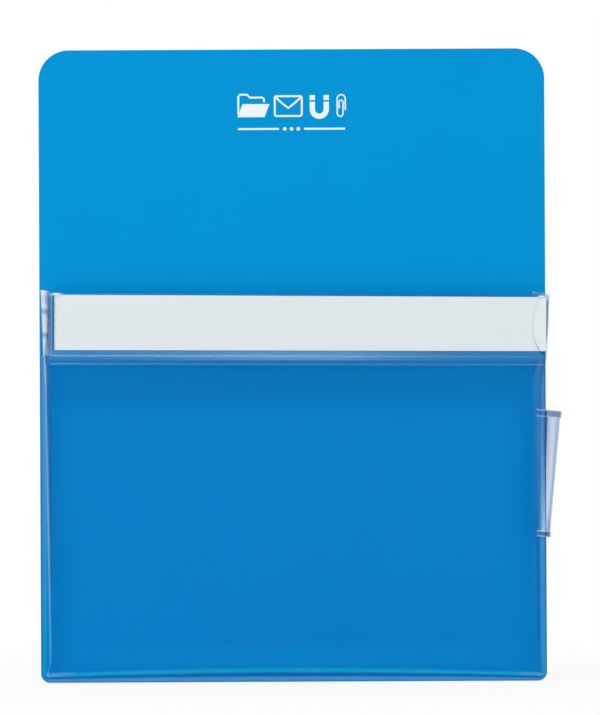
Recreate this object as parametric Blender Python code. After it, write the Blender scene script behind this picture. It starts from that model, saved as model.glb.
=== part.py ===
"""Magnetic document pocket for A4 papers.

A blue sheet carries a clear pocket, open at its mouth. A clear sleeve folded over along the mouth holds a white label
card, and a clear tapered sleeve on the right edge holds a pen. Three rubber magnet strips hold the sheet on steel.

Metres, +Z up. The front faces -Y. The steel surface is the plane y = 0, and the origin is the middle of the middle
magnet's face on it. A depth is measured forwards from the sheet's front face, towards -Y.
"""

import math

import bmesh
import bpy
import numpy as np

# Clearance between pieces that lie on each other
SEAT = 0.0003

# Back sheet
SHEET_WIDTH = 0.240
SHEET_HEIGHT = 0.300
SHEET_THICKNESS = 0.0008
TOP_CORNER_RADIUS = 0.013
BOTTOM_CORNER_RADIUS = 0.0043

# Magnet strips and the tape that holds them
MAGNET_LENGTH = 0.200
MAGNET_WIDTH = 0.020
MAGNET_THICKNESS = 0.0012
MAGNET_TO_SHEET_EDGE = 0.008
TAPE_THICKNESS = 0.0002
TAPE_INSET = 0.0005

# Front panel of the pocket
FILM = 0.0004
POCKET_DEPTH = 0.008
POCKET_DEPTH_LOW = 0.0058
MOUTH_BELOW_SHEET_TOP = 0.1162
SIDE_WELD = 0.0052
LEFT_BULGE_TOP = 0.0030
LEFT_BULGE_LOW = 0.0002
RIGHT_BULGE_TOP = 0.0036
RIGHT_BULGE_LOW = 0.0016
SHOULDER = 0.0030
BAND_HOLD = 0.0120
BOTTOM_WELD = 0.0063
BOTTOM_WELD_AT_CORNERS = 0.0026
BOTTOM_RAMP = 0.0115

# Index sleeve along the mouth
BAND_HEIGHT = 0.0339
BAND_SLOPE = math.radians(0.45)
BAND_LAP = 0.0043
BAND_BELOW_CARD = 0.00665
SLEEVE_LEFT_INSET = 0.0048
SLEEVE_END_WELD = 0.0019
WELD_STEP = 0.0014
LEFT_FOOT = 0.0042
LEFT_FLANGE_INSET = 0.0010
LEFT_RISE = 0.0018
RIGHT_FOOT = 0.0047
RIGHT_WELD_WIDTH = 0.0016
RIGHT_REACH = 0.0019
RIGHT_REACH_LOW = 0.0002
RIGHT_RISE = 0.0018
NOTCH_RADIUS = 0.0192
NOTCH_DEPTH = 0.0058
NOTCH_BELOW_CARD_MIDDLE = 0.00135
BEAD_WIDTH = 0.0010
BEAD_HEIGHT = 0.00025
UPPER_BEAD_ABOVE_EDGE = 0.00405
LOWER_BEAD_ABOVE_EDGE = 0.00065

# Label card
CARD_THICKNESS = 0.0003
CARD_CLEARANCE = 0.0003

# Pen sleeve
PEN_FILM = 0.0004
PEN_BELOW_BAND = 0.0209
PEN_LENGTH = 0.0602
PEN_REACH_TOP = 0.0071
PEN_REACH_LOW = 0.0021
PEN_TAB_INSET = 0.0050
PEN_DEPTH_TOP = 0.0084
PEN_DEPTH_LOW = 0.0062
PEN_END_SLANT = math.radians(4.8)
PEN_RIM_TOP = 0.0031
PEN_RIM_LOW = 0.0026
PEN_RIM_THICKNESS = 0.00025

# Fineness of the curved surfaces
ARC_STEPS = 10
WALL_STEPS = 8
PANEL_COLUMNS = 8
PANEL_ROWS = 14
RAMP_ROWS = 7
SLEEVE_WALL_ROWS = 6
PEN_SIDES = 28
PEN_STATIONS = 5

# Levels that follow from the sizes above
TAPE_BACK_Y = -(MAGNET_THICKNESS + SEAT)
SHEET_BACK_Y = TAPE_BACK_Y - TAPE_THICKNESS - SEAT
SHEET_FRONT_Y = SHEET_BACK_Y - SHEET_THICKNESS
HALF_WIDTH = SHEET_WIDTH / 2
SHEET_TOP_Z = SHEET_HEIGHT / 2
SHEET_BOTTOM_Z = -SHEET_HEIGHT / 2
MOUTH_Z = SHEET_TOP_Z - MOUTH_BELOW_SHEET_TOP
PANEL_TOP_Z = MOUTH_Z - BAND_HEIGHT + BAND_LAP
RAMP_TOP_Z = SHEET_BOTTOM_Z + BOTTOM_WELD + BOTTOM_RAMP
SLOT_DEPTH = CARD_THICKNESS + 2 * CARD_CLEARANCE
SLEEVE_DEPTH = SLOT_DEPTH + 2 * FILM
FOLD_RADIUS = SLEEVE_DEPTH / 2
LAP_DEPTH = POCKET_DEPTH + FILM + SEAT
CARD_BOTTOM = BAND_HEIGHT - BAND_BELOW_CARD
SLOT_BOTTOM = CARD_BOTTOM + CARD_CLEARANCE
NOTCH_BELOW_MOUTH = (FOLD_RADIUS + CARD_BOTTOM) / 2 + NOTCH_BELOW_CARD_MIDDLE
SLEEVE_LEFT = -HALF_WIDTH + SLEEVE_LEFT_INSET
SLEEVE_LEFT_END = SLEEVE_LEFT + SLEEVE_END_WELD / 2
SLEEVE_RIGHT_END = HALF_WIDTH - SLEEVE_END_WELD / 2
CARD_LEFT = SLEEVE_LEFT + SLEEVE_END_WELD + CARD_CLEARANCE
WELD_X = HALF_WIDTH - SIDE_WELD
PEN_TOP_Z = MOUTH_Z - BAND_HEIGHT - PEN_BELOW_BAND


def depth_to_y(depth):
    """World y of a depth in front of the sheet."""
    return SHEET_FRONT_Y - depth


def clear_scene():
    for obj in list(bpy.data.objects):
        bpy.data.objects.remove(obj, do_unlink=True)


def material(name, colour, roughness, metallic=0.0, alpha=1.0):
    """A plain Principled material."""
    made = bpy.data.materials.new(name)
    made.use_nodes = True
    shader = made.node_tree.nodes["Principled BSDF"]
    shader.inputs["Base Color"].default_value = (*colour, 1.0)
    shader.inputs["Roughness"].default_value = roughness
    shader.inputs["Metallic"].default_value = metallic
    shader.inputs["Alpha"].default_value = alpha
    return made


def add_object(name, mesh, finish=None):
    obj = bpy.data.objects.new(name, mesh)
    bpy.context.scene.collection.objects.link(obj)
    if finish is not None:
        mesh.materials.append(finish)
    return obj


def hide_helper(obj):
    """A cutter or a shape to be joined on: left out of the finished part."""
    obj.hide_render = True
    obj.display_type = "WIRE"
    return obj


def shade_round(mesh, sharp_degrees=35):
    mesh.shade_smooth()
    mesh.set_sharp_from_angle(angle=math.radians(sharp_degrees))


def box_mesh(name, low, high):
    """A box between two corners."""
    low = np.array(low)
    size = np.array(high) - low
    form = bmesh.new()
    bmesh.ops.create_cube(form, size=1.0)
    for vertex in form.verts:
        vertex.co = low + size * (np.array(vertex.co) + 0.5)
    mesh = bpy.data.meshes.new(name)
    form.to_mesh(mesh)
    form.free()
    return mesh


def prism_mesh(name, outline, along):
    """The outline, a closed loop of points, pushed along a vector into a solid."""
    form = bmesh.new()
    face = form.faces.new([form.verts.new(point) for point in outline])
    swept = bmesh.ops.extrude_face_region(form, geom=[face])
    moved = [item for item in swept["geom"] if isinstance(item, bmesh.types.BMVert)]
    bmesh.ops.translate(form, verts=moved, vec=along)
    bmesh.ops.recalc_face_normals(form, faces=form.faces)
    mesh = bpy.data.meshes.new(name)
    form.to_mesh(mesh)
    form.free()
    return mesh


def grid_mesh(name, x, depth, z):
    """An open surface through a grid of points, given as three arrays of the same shape. Columns run from -X to +X
    and rows from the top down, so that the faces point forwards."""
    rows, columns = x.shape
    points = np.stack([x, depth_to_y(depth), z], axis=-1).reshape(-1, 3)
    index = np.arange(rows * columns).reshape(rows, columns)
    corners = (index[:-1, :-1], index[1:, :-1], index[1:, 1:], index[:-1, 1:])
    faces = np.stack([corner.ravel() for corner in corners], axis=-1)
    mesh = bpy.data.meshes.new(name)
    mesh.from_pydata(points.tolist(), [], faces.tolist())
    mesh.validate()
    return mesh


def add_thickness(obj, thickness):
    """Turns an open film surface into a film, the thickness going back from its outer face."""
    solidify = obj.modifiers.new("film", "SOLIDIFY")
    solidify.thickness = thickness
    solidify.offset = -1.0
    solidify.use_even_offset = True
    return solidify


def add_boolean(obj, name, operation, other):
    boolean = obj.modifiers.new(name, "BOOLEAN")
    boolean.operation = operation
    boolean.solver = "EXACT"
    boolean.object = other
    return boolean


def arc(centre, radius, start_degrees, end_degrees, steps=ARC_STEPS):
    """Points of an arc in a plane, both ends included."""
    angles = np.radians(np.linspace(start_degrees, end_degrees, steps + 1))
    return [
        (centre[0] + radius * math.cos(a), centre[1] + radius * math.sin(a)) for a in angles
    ]


def sheet_outline():
    """The sheet's outline in x and z, anticlockwise from the right end of its lower edge."""
    low = BOTTOM_CORNER_RADIUS
    top = TOP_CORNER_RADIUS
    low_x = HALF_WIDTH - low
    top_x = HALF_WIDTH - top
    low_z = SHEET_BOTTOM_Z + low
    top_z = SHEET_TOP_Z - top
    points = arc((low_x, low_z), low, -90, 0)
    points += arc((top_x, top_z), top, 0, 90)
    points += arc((-top_x, top_z), top, 90, 180)
    points += arc((-low_x, low_z), low, 180, 270)
    return points


def make_back_sheet(finish):
    outline = [(x, SHEET_FRONT_Y, z) for x, z in sheet_outline()]
    mesh = prism_mesh("back_sheet", outline, (0, SHEET_THICKNESS, 0))
    shade_round(mesh)
    return add_object("back_sheet", mesh, finish)


def make_magnets(magnet_finish, tape_finish):
    """Three strips, near the sheet's upper edge, at its middle and near its lower edge, each on its own tape."""
    end_z = SHEET_TOP_Z - MAGNET_TO_SHEET_EDGE - MAGNET_WIDTH / 2
    for place, z in (("top", end_z), ("middle", 0.0), ("bottom", -end_z)):
        half = np.array([MAGNET_LENGTH / 2, 0, MAGNET_WIDTH / 2])
        strip = box_mesh(
            place + "_magnet",
            np.array([0, -MAGNET_THICKNESS, 0]) - half,
            half,
        )
        add_object(place + "_magnet", strip, magnet_finish).location = (0, 0, z)
        half = half - np.array([TAPE_INSET, 0, TAPE_INSET])
        tape = box_mesh(
            place + "_tape",
            np.array([0, TAPE_BACK_Y - TAPE_THICKNESS, 0]) - half,
            np.array([0, TAPE_BACK_Y, 0]) + half,
        )
        add_object(place + "_tape", tape, tape_finish).location = (0, 0, z)


def pocket_depth(z):
    """Clear depth of the pocket: full at the panel's upper edge, and less towards the bottom."""
    share = np.clip((PANEL_TOP_Z - z) / (PANEL_TOP_Z - RAMP_TOP_Z), 0, 1)
    return POCKET_DEPTH + (POCKET_DEPTH_LOW - POCKET_DEPTH) * share**1.5


def band_hold(z):
    """How far the stiff band still holds the panel's film to its own outline: 1 at the panel's upper edge, and 0 from
    some way below it."""
    return np.clip(1 - (PANEL_TOP_Z - z) / BAND_HOLD, 0, 1) ** 2


def side_bulge(z, top, low, held):
    """How far the film stands out over its side weld, from the panel's upper edge to the bottom ramp. Where the band
    holds it, that is the given amount."""
    share = np.clip((PANEL_TOP_Z - z) / (PANEL_TOP_Z - RAMP_TOP_Z), 0, 1)
    free = top + (low - top) * share**1.3
    return free + (held - free) * band_hold(z)


def left_bulge(z):
    return side_bulge(z, LEFT_BULGE_TOP, LEFT_BULGE_LOW, LEFT_BULGE_TOP)


def right_bulge(z):
    return side_bulge(z, RIGHT_BULGE_TOP, RIGHT_BULGE_LOW, SIDE_WELD + RIGHT_REACH_LOW)


def bottom_weld_z(x):
    """The upper side of the bottom weld, a parabola that is highest at the middle."""
    drop = BOTTOM_WELD - BOTTOM_WELD_AT_CORNERS
    return SHEET_BOTTOM_Z + BOTTOM_WELD - drop * (x / HALF_WIDTH) ** 2


def sheet_edge_x(z):
    """Half of the sheet's width at a height, less within its lower corners."""
    above = np.clip(z - SHEET_BOTTOM_Z, 0, BOTTOM_CORNER_RADIUS)
    chord = np.sqrt(BOTTOM_CORNER_RADIUS**2 - (BOTTOM_CORNER_RADIUS - above) ** 2)
    return HALF_WIDTH - BOTTOM_CORNER_RADIUS + chord


def panel_columns():
    """Column stations from left to right: (kind, value). Kind edge is the sheet's edge, wall the curved side wall with
    its value running from 0 at the weld to 1 at the front, and front a share of the width between the shoulders."""
    wall = np.linspace(0, 1, WALL_STEPS + 1)
    front = np.linspace(0, 1, PANEL_COLUMNS + 1)[1:-1]
    left = [("edge", -1.0)] + [("left_wall", t) for t in wall]
    right = [("right_wall", t) for t in wall[::-1]] + [("edge", 1.0)]
    return left + [("front", share) for share in front] + right


def panel_heights():
    """Row stations from the top down: (share of the panel's height above its bottom ramp, ramp share, weld share). They
    are closest at the top, where the film leaves the band's outline."""
    rows = [(share, 0.0, 0.0) for share in np.linspace(0, 1, PANEL_ROWS + 1) ** 1.6]
    rows += [(1.0, share, 0.0) for share in np.linspace(0, 1, RAMP_ROWS + 1)[1:]]
    rows += [(1.0, 1.0, share) for share in (0.4, 0.75, 1.0)]
    return rows


def make_front_panel(finish):
    """The film over the pocket. Each row of its surface runs along the sheet's edge, in to the side weld, up the side
    wall, which bows outwards over the weld by a sine squared, and over the front. At the top the wall ends where the
    index sleeve's does, and lower down a shoulder further in. Towards the bottom weld the depth falls by a quarter of
    an ellipse."""
    columns = panel_columns()
    shape = (len(panel_heights()), len(columns))
    x = np.zeros(shape)
    depth = np.zeros(shape)
    z = np.zeros(shape)
    flange = SEAT + FILM
    for row, (fall, ramp, weld) in enumerate(panel_heights()):
        level = PANEL_TOP_Z + (RAMP_TOP_Z - PANEL_TOP_Z) * fall
        level -= BOTTOM_RAMP * ramp
        rise = math.sqrt(max(0.0, 1 - ramp**2))
        full = flange + (pocket_depth(level) + FILM - flange) * rise
        bulge = {"left_wall": left_bulge(level) * rise, "right_wall": right_bulge(level) * rise}
        hold = band_hold(level)
        shoulder = {
            "left_wall": SHOULDER + (WELD_X + SLEEVE_LEFT_END - SHOULDER) * hold,
            "right_wall": SHOULDER + (WELD_X - SLEEVE_RIGHT_END - SHOULDER) * hold,
        }
        left = shoulder["left_wall"] - WELD_X
        right = WELD_X - shoulder["right_wall"]
        for column, (kind, value) in enumerate(columns):
            if kind == "front":
                x[row, column] = left + (right - left) * value
                depth[row, column] = full
            elif kind != "edge":
                side = -1 if kind == "left_wall" else 1
                inset = shoulder[kind] * (value + (value**3 - value) * rise)
                out = bulge[kind] * math.sin(math.pi * value) ** 2 - inset
                x[row, column] = side * (WELD_X + out)
                depth[row, column] = flange + (full - flange) * math.sin(math.pi * value / 2)
            else:
                depth[row, column] = flange
        # Rows lean with the mouth at the top, follow the bottom weld at the ramp's foot and end on the sheet's edge.
        low = bottom_weld_z(x[row]) - SHEET_BOTTOM_Z - BOTTOM_WELD
        z[row] = level - math.tan(BAND_SLOPE) * x[row] * (1 - fall) + low * ramp
        edges = [column for column, (kind, value) in enumerate(columns) if kind == "edge"]
        for column in edges:
            side = columns[column][1]
            reach = bottom_weld_z(HALF_WIDTH) - SHEET_BOTTOM_Z - BOTTOM_WELD
            z[row, column] = level - math.tan(BAND_SLOPE) * side * HALF_WIDTH * (1 - fall) + reach * ramp
        z[row] += (SHEET_BOTTOM_Z - z[row]) * weld
        for column in edges:
            x[row, column] = columns[column][1] * sheet_edge_x(z[row, column])
    mesh = grid_mesh("front_panel", x, depth, z)
    shade_round(mesh)
    panel = add_object("front_panel", mesh, finish)
    add_thickness(panel, FILM)
    return panel


def bead(below_mouth, front):
    """Points of a weld bead's half round ridge on a front face, from its upper to its lower side."""
    steps = np.linspace(0, math.pi, 5)
    return [
        (front + BEAD_HEIGHT * math.sin(a), -below_mouth + BEAD_WIDTH / 2 * math.cos(a))
        for a in steps
    ]


def sleeve_section():
    """The index sleeve's section, as depth and height below the mouth: a fold at the top, two leaves, and a lapped
    weld with two beads at the bottom."""
    back = POCKET_DEPTH
    front = back + SLEEVE_DEPTH
    lap_front = LAP_DEPTH + 2 * FILM
    points = arc((back + FOLD_RADIUS, -FOLD_RADIUS), FOLD_RADIUS, 180, 0)
    points += [(front, -SLOT_BOTTOM), (lap_front, -SLOT_BOTTOM - WELD_STEP)]
    points += bead(BAND_HEIGHT - UPPER_BEAD_ABOVE_EDGE, lap_front)
    points += bead(BAND_HEIGHT - LOWER_BEAD_ABOVE_EDGE, lap_front)
    points += [(lap_front, -BAND_HEIGHT), (LAP_DEPTH, -BAND_HEIGHT)]
    points += [(LAP_DEPTH, -SLOT_BOTTOM - WELD_STEP), (back, -SLOT_BOTTOM)]
    return points


def slot_section():
    """The card slot's section, round at the fold and square at the bottom."""
    back = POCKET_DEPTH + FILM
    radius = SLOT_DEPTH / 2
    points = arc((back + radius, -FOLD_RADIUS), radius, 180, 0)
    points += [(back + SLOT_DEPTH, -SLOT_BOTTOM), (back, -SLOT_BOTTOM)]
    return points


def section_prism(name, section, start_x, end_x):
    outline = [(start_x, depth_to_y(depth), height) for depth, height in section]
    return prism_mesh(name, outline, (end_x - start_x, 0, 0))


def place_on_band(obj):
    """Moves a piece made about the mouth's middle to its place, leaning with the mouth."""
    obj.location = (0, 0, MOUTH_Z)
    obj.rotation_euler = (0, BAND_SLOPE, 0)
    return obj


def wall_mesh(name, x, edge_rise, depth):
    """A side wall of the sleeve through columns of x, one array a row from the mouth down to the panel's upper edge.
    The upper edge stands above the mouth by edge_rise."""
    rows = np.linspace(0, 1, len(x))[:, None]
    low = -BAND_HEIGHT + BAND_LAP + SEAT
    heights = edge_rise * (1 - rows) + low * rows
    return grid_mesh(name, x, np.broadcast_to(depth, x.shape), heights)


def wall_depth(wall):
    """Depths of a side wall's columns: the weld on the sheet, and a quarter of a sine up to the leaves."""
    flange = SEAT + FILM
    top = POCKET_DEPTH + FILM - SEAT / 6
    return np.concatenate([[flange], flange + (top - flange) * np.sin(np.pi * wall / 2)])


def make_left_wall():
    """The sleeve's left side wall: a weld on the sheet, taller than the mouth, and a steep wall up to the leaves. Its
    section bows outwards over the weld by a sine squared, from nothing at the mouth to the panel's own bulge."""
    wall = np.linspace(0, 1, WALL_STEPS + 1)
    rows = np.linspace(0, 1, SLEEVE_WALL_ROWS + 1)[:, None]
    foot = HALF_WIDTH - LEFT_FOOT + (LEFT_FOOT - SIDE_WELD) * rows
    bulge = LEFT_BULGE_TOP * rows**1.5
    bow = np.sin(0.8 * np.pi * wall) ** 2
    drop = foot + bulge * bow[-1] + SLEEVE_LEFT_END
    x = -(foot + bulge * bow - drop * wall**3)
    weld = np.full_like(rows, -HALF_WIDTH + LEFT_FLANGE_INSET)
    edge_rise = np.concatenate([[LEFT_RISE], LEFT_RISE * np.clip(1 - 3 * wall, 0, 1) - FOLD_RADIUS * wall])
    return wall_mesh("sleeve_left_wall", np.concatenate([weld, x], axis=1), edge_rise, wall_depth(wall))


def make_right_wall():
    """The sleeve's right side wall: a weld on the sheet, and film that bows out past the sheet's edge by a sine, most
    at the mouth."""
    wall = np.linspace(0, 1, WALL_STEPS + 1)
    rows = np.linspace(0, 1, SLEEVE_WALL_ROWS + 1)[:, None]
    foot = HALF_WIDTH - RIGHT_FOOT + (RIGHT_FOOT - SIDE_WELD) * rows
    reach = HALF_WIDTH + RIGHT_REACH + (RIGHT_REACH_LOW - RIGHT_REACH) * rows
    straight = foot + (SLEEVE_RIGHT_END - foot) * wall
    x = straight + (reach - (foot + SLEEVE_RIGHT_END) / 2) * np.sin(np.pi * wall)
    edge_rise = np.concatenate([[RIGHT_RISE], RIGHT_RISE * (1 - wall) ** 1.3 - FOLD_RADIUS * wall])
    x = np.concatenate([foot - RIGHT_WELD_WIDTH, x], axis=1)
    # The columns run from the weld outwards and back over to the leaves, and their film lies inside them.
    mesh = wall_mesh("sleeve_right_wall", x, edge_rise, wall_depth(wall))
    mesh.flip_normals()
    return mesh


def make_end_bead():
    """The weld bead down the sleeve's left end, from the fold to the upper bead of the lap. Its back lies in the film."""
    front = POCKET_DEPTH + SLEEVE_DEPTH
    middle = SLEEVE_LEFT + BEAD_WIDTH
    angles = np.linspace(0, math.pi, 7)
    section = [(middle + BEAD_WIDTH / 2 * math.cos(a), front + BEAD_HEIGHT * math.sin(a)) for a in angles]
    section += [(middle - BEAD_WIDTH / 2, front - FILM), (middle + BEAD_WIDTH / 2, front - FILM)]
    outline = [(x, depth_to_y(depth), -FOLD_RADIUS) for x, depth in section]
    length = BAND_HEIGHT - UPPER_BEAD_ABOVE_EDGE - FOLD_RADIUS
    return prism_mesh("end_bead", outline, (0, 0, -length))


def make_index_sleeve(finish):
    """The folded sleeve, cut for the card slot and the thumb notch, joined to its two side walls."""
    body = section_prism("index_sleeve", sleeve_section(), SLEEVE_LEFT, HALF_WIDTH)
    shade_round(body)
    sleeve = place_on_band(add_object("index_sleeve", body, finish))
    past_end = HALF_WIDTH + SLEEVE_END_WELD
    slot = section_prism("slot_cutter", slot_section(), SLEEVE_LEFT + SLEEVE_END_WELD, past_end)
    notch_x = HALF_WIDTH + NOTCH_RADIUS - NOTCH_DEPTH
    middle = POCKET_DEPTH + SLEEVE_DEPTH / 2
    circle = arc((notch_x, -NOTCH_BELOW_MOUTH), NOTCH_RADIUS, 90, 270, 2 * ARC_STEPS)
    outline = [(x, depth_to_y(middle), z) for x, z in circle]
    notch = prism_mesh("notch_cutter", outline, (0, -SLEEVE_DEPTH, 0))
    for name, mesh in (("card_slot", slot), ("thumb_notch", notch)):
        cutter = hide_helper(place_on_band(add_object(name + "_cutter", mesh)))
        add_boolean(sleeve, name, "DIFFERENCE", cutter)
    for name, mesh in (("left_wall", make_left_wall()), ("right_wall", make_right_wall())):
        shade_round(mesh)
        wall = hide_helper(place_on_band(add_object(name + "_helper", mesh)))
        add_thickness(wall, FILM)
        add_boolean(sleeve, name, "UNION", wall)
    bead_helper = hide_helper(place_on_band(add_object("end_bead_helper", make_end_bead())))
    add_boolean(sleeve, "end_bead", "UNION", bead_helper)
    return sleeve


def make_label_card(finish):
    """The card lies in the middle of its slot and ends flush with the sheet's right edge."""
    back = POCKET_DEPTH + FILM + CARD_CLEARANCE
    low = (CARD_LEFT, depth_to_y(back + CARD_THICKNESS), -CARD_BOTTOM)
    high = (HALF_WIDTH, depth_to_y(back), -FOLD_RADIUS)
    return place_on_band(add_object("label_card", box_mesh("label_card", low, high), finish))


def pen_ring(z, swell):
    """Centre and radii of the pen sleeve's round at a height, as (x, depth, x radius, depth radius), swelled outwards
    by the given amount. Its left side clears the panel's bulge, and its front is level with its tab."""
    share = (PEN_TOP_Z - z) / PEN_LENGTH
    left = WELD_X + right_bulge(z) + SEAT + PEN_RIM_THICKNESS
    right = HALF_WIDTH + PEN_REACH_TOP + (PEN_REACH_LOW - PEN_REACH_TOP) * share
    across = PEN_DEPTH_TOP + (PEN_DEPTH_LOW - PEN_DEPTH_TOP) * share
    front = pocket_depth(z) + FILM + SEAT + 2 * PEN_FILM
    return (left + right) / 2, front - across / 2, (right - left) / 2 + swell, across / 2 + swell


def pen_outline(z, swell):
    """The pen sleeve's outer section at a height: the round, and a flat tab of two films over the pocket's shoulder."""
    x, depth, wide, deep = pen_ring(z, swell)
    tab_x = HALF_WIDTH - PEN_TAB_INSET
    tab_back = depth + deep - swell - 2 * PEN_FILM
    # The round runs from its front, clockwise, to where it meets the tab's back.
    meeting = math.degrees(math.asin((tab_back - depth) / deep))
    angles = np.radians(np.linspace(90, -180 - meeting, PEN_SIDES))
    points = [(x + wide * math.cos(a), depth + deep * math.sin(a)) for a in angles]
    return points + [(tab_x, tab_back), (tab_x, depth + deep)]


def pen_bore(z):
    x, depth, wide, deep = pen_ring(z, 0.0)
    angles = np.linspace(0, -2 * math.pi, PEN_SIDES, endpoint=False)
    return [
        (x + (wide - PEN_FILM) * math.cos(a), depth + (deep - PEN_FILM) * math.sin(a))
        for a in angles
    ]


def loft_mesh(name, loops):
    """A solid through closed loops of points of equal count, with flat ends."""
    form = bmesh.new()
    rings = [[form.verts.new(point) for point in loop] for loop in loops]
    for upper, lower in zip(rings, rings[1:]):
        for i in range(len(upper)):
            j = (i + 1) % len(upper)
            form.faces.new((upper[i], upper[j], lower[j], lower[i]))
    form.faces.new(rings[0])
    form.faces.new(rings[-1])
    bmesh.ops.recalc_face_normals(form, faces=form.faces)
    mesh = bpy.data.meshes.new(name)
    form.to_mesh(mesh)
    form.free()
    return mesh


def slanted(points, z):
    """A section's points at a height, lower towards the right, square to the sleeve's tapered side."""
    start = HALF_WIDTH - PEN_TAB_INSET
    fall = math.tan(PEN_END_SLANT)
    return [(x, depth_to_y(depth), z - fall * (x - start)) for x, depth in points]


def make_pen_sleeve(finish):
    """The tapered sleeve, thicker along the rims at its two ends."""
    top = PEN_TOP_Z
    low = top - PEN_LENGTH
    step = PEN_RIM_THICKNESS
    between = np.linspace(top - PEN_RIM_TOP - step, low + PEN_RIM_LOW + step, PEN_STATIONS)
    stations = [(top, step), (top - PEN_RIM_TOP, step)]
    stations += [(z, 0.0) for z in between]
    stations += [(low + PEN_RIM_LOW, step), (low, step)]
    outer = [slanted(pen_outline(z, swell), z) for z, swell in stations]
    mesh = loft_mesh("pen_sleeve", outer)
    shade_round(mesh)
    sleeve = add_object("pen_sleeve", mesh, finish)
    ends = (top + PEN_RIM_TOP, low - PEN_RIM_LOW)
    bore = loft_mesh("pen_bore_cutter", [slanted(pen_bore(z), z) for z in ends])
    cutter = hide_helper(add_object("pen_bore_cutter", bore))
    add_boolean(sleeve, "bore", "DIFFERENCE", cutter)
    return sleeve


def main():
    clear_scene()
    blue = material("blue_sheet", (0.0, 0.29, 0.66), 0.4)
    film = material("clear_film", (0.82, 0.88, 0.95), 0.1, alpha=0.35)
    card = material("white_card", (0.86, 0.88, 0.89), 0.7)
    rubber = material("magnet_rubber", (0.05, 0.045, 0.04), 0.65)
    tape = material("tape", (0.85, 0.84, 0.78), 0.6)
    make_back_sheet(blue)
    make_magnets(rubber, tape)
    make_front_panel(film)
    make_index_sleeve(film)
    make_label_card(card)
    make_pen_sleeve(film)


main()
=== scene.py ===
"""Looks of a magnetic document pocket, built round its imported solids.

A blue sheet carries a clear pocket for papers. A folded clear sleeve along the mouth holds a white card, a
tapered clear sleeve on the right edge holds a pen, and three rubber magnet strips lie on the back. Metres,
+Z up, the front faces -Y. A depth is measured forwards from the sheet's front face. Band coordinates are
those of the card sleeve, from the middle of the mouth: x along the mouth, z below it.
"""

import logging
import math
from dataclasses import dataclass, field, replace
from enum import Enum
from functools import cached_property

import bpy
import numpy as np
from bpy.types import Material, Mesh, Node, NodeSocket, Object, World
from mathutils import Matrix, Vector


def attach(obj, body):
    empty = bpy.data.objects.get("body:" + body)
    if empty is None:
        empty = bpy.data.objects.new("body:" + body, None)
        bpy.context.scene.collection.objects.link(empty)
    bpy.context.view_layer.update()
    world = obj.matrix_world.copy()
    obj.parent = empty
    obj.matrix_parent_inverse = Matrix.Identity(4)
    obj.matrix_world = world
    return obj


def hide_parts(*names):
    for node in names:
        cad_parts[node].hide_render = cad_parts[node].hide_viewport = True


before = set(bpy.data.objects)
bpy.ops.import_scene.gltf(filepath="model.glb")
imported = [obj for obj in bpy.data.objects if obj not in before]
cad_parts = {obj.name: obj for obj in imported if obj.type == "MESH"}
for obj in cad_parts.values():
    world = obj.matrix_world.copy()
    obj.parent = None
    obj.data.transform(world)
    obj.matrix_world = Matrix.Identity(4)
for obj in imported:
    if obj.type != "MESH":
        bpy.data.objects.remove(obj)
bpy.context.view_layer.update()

LOG = logging.getLogger("document_pocket")
Array = np.ndarray

# What a node's input takes: another node's output, or a value of its own.
Input = NodeSocket | float | tuple[float, ...]

# Faces that meet at less than the first angle look smooth, and edges sharper than the second are rounded.
SMOOTH_BEND = math.radians(40)
HARD_BEND = math.radians(50)


class Side(Enum):
    """Left and right side of the pocket, as seen from the front."""

    LEFT = -1
    RIGHT = 1


class Pattern(Enum):
    """What a finish lays over its plain colour."""

    GRAIN = "grain"
    FIBRES = "fibres"
    EXTRUSION = "extrusion"


# Sizes


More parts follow.
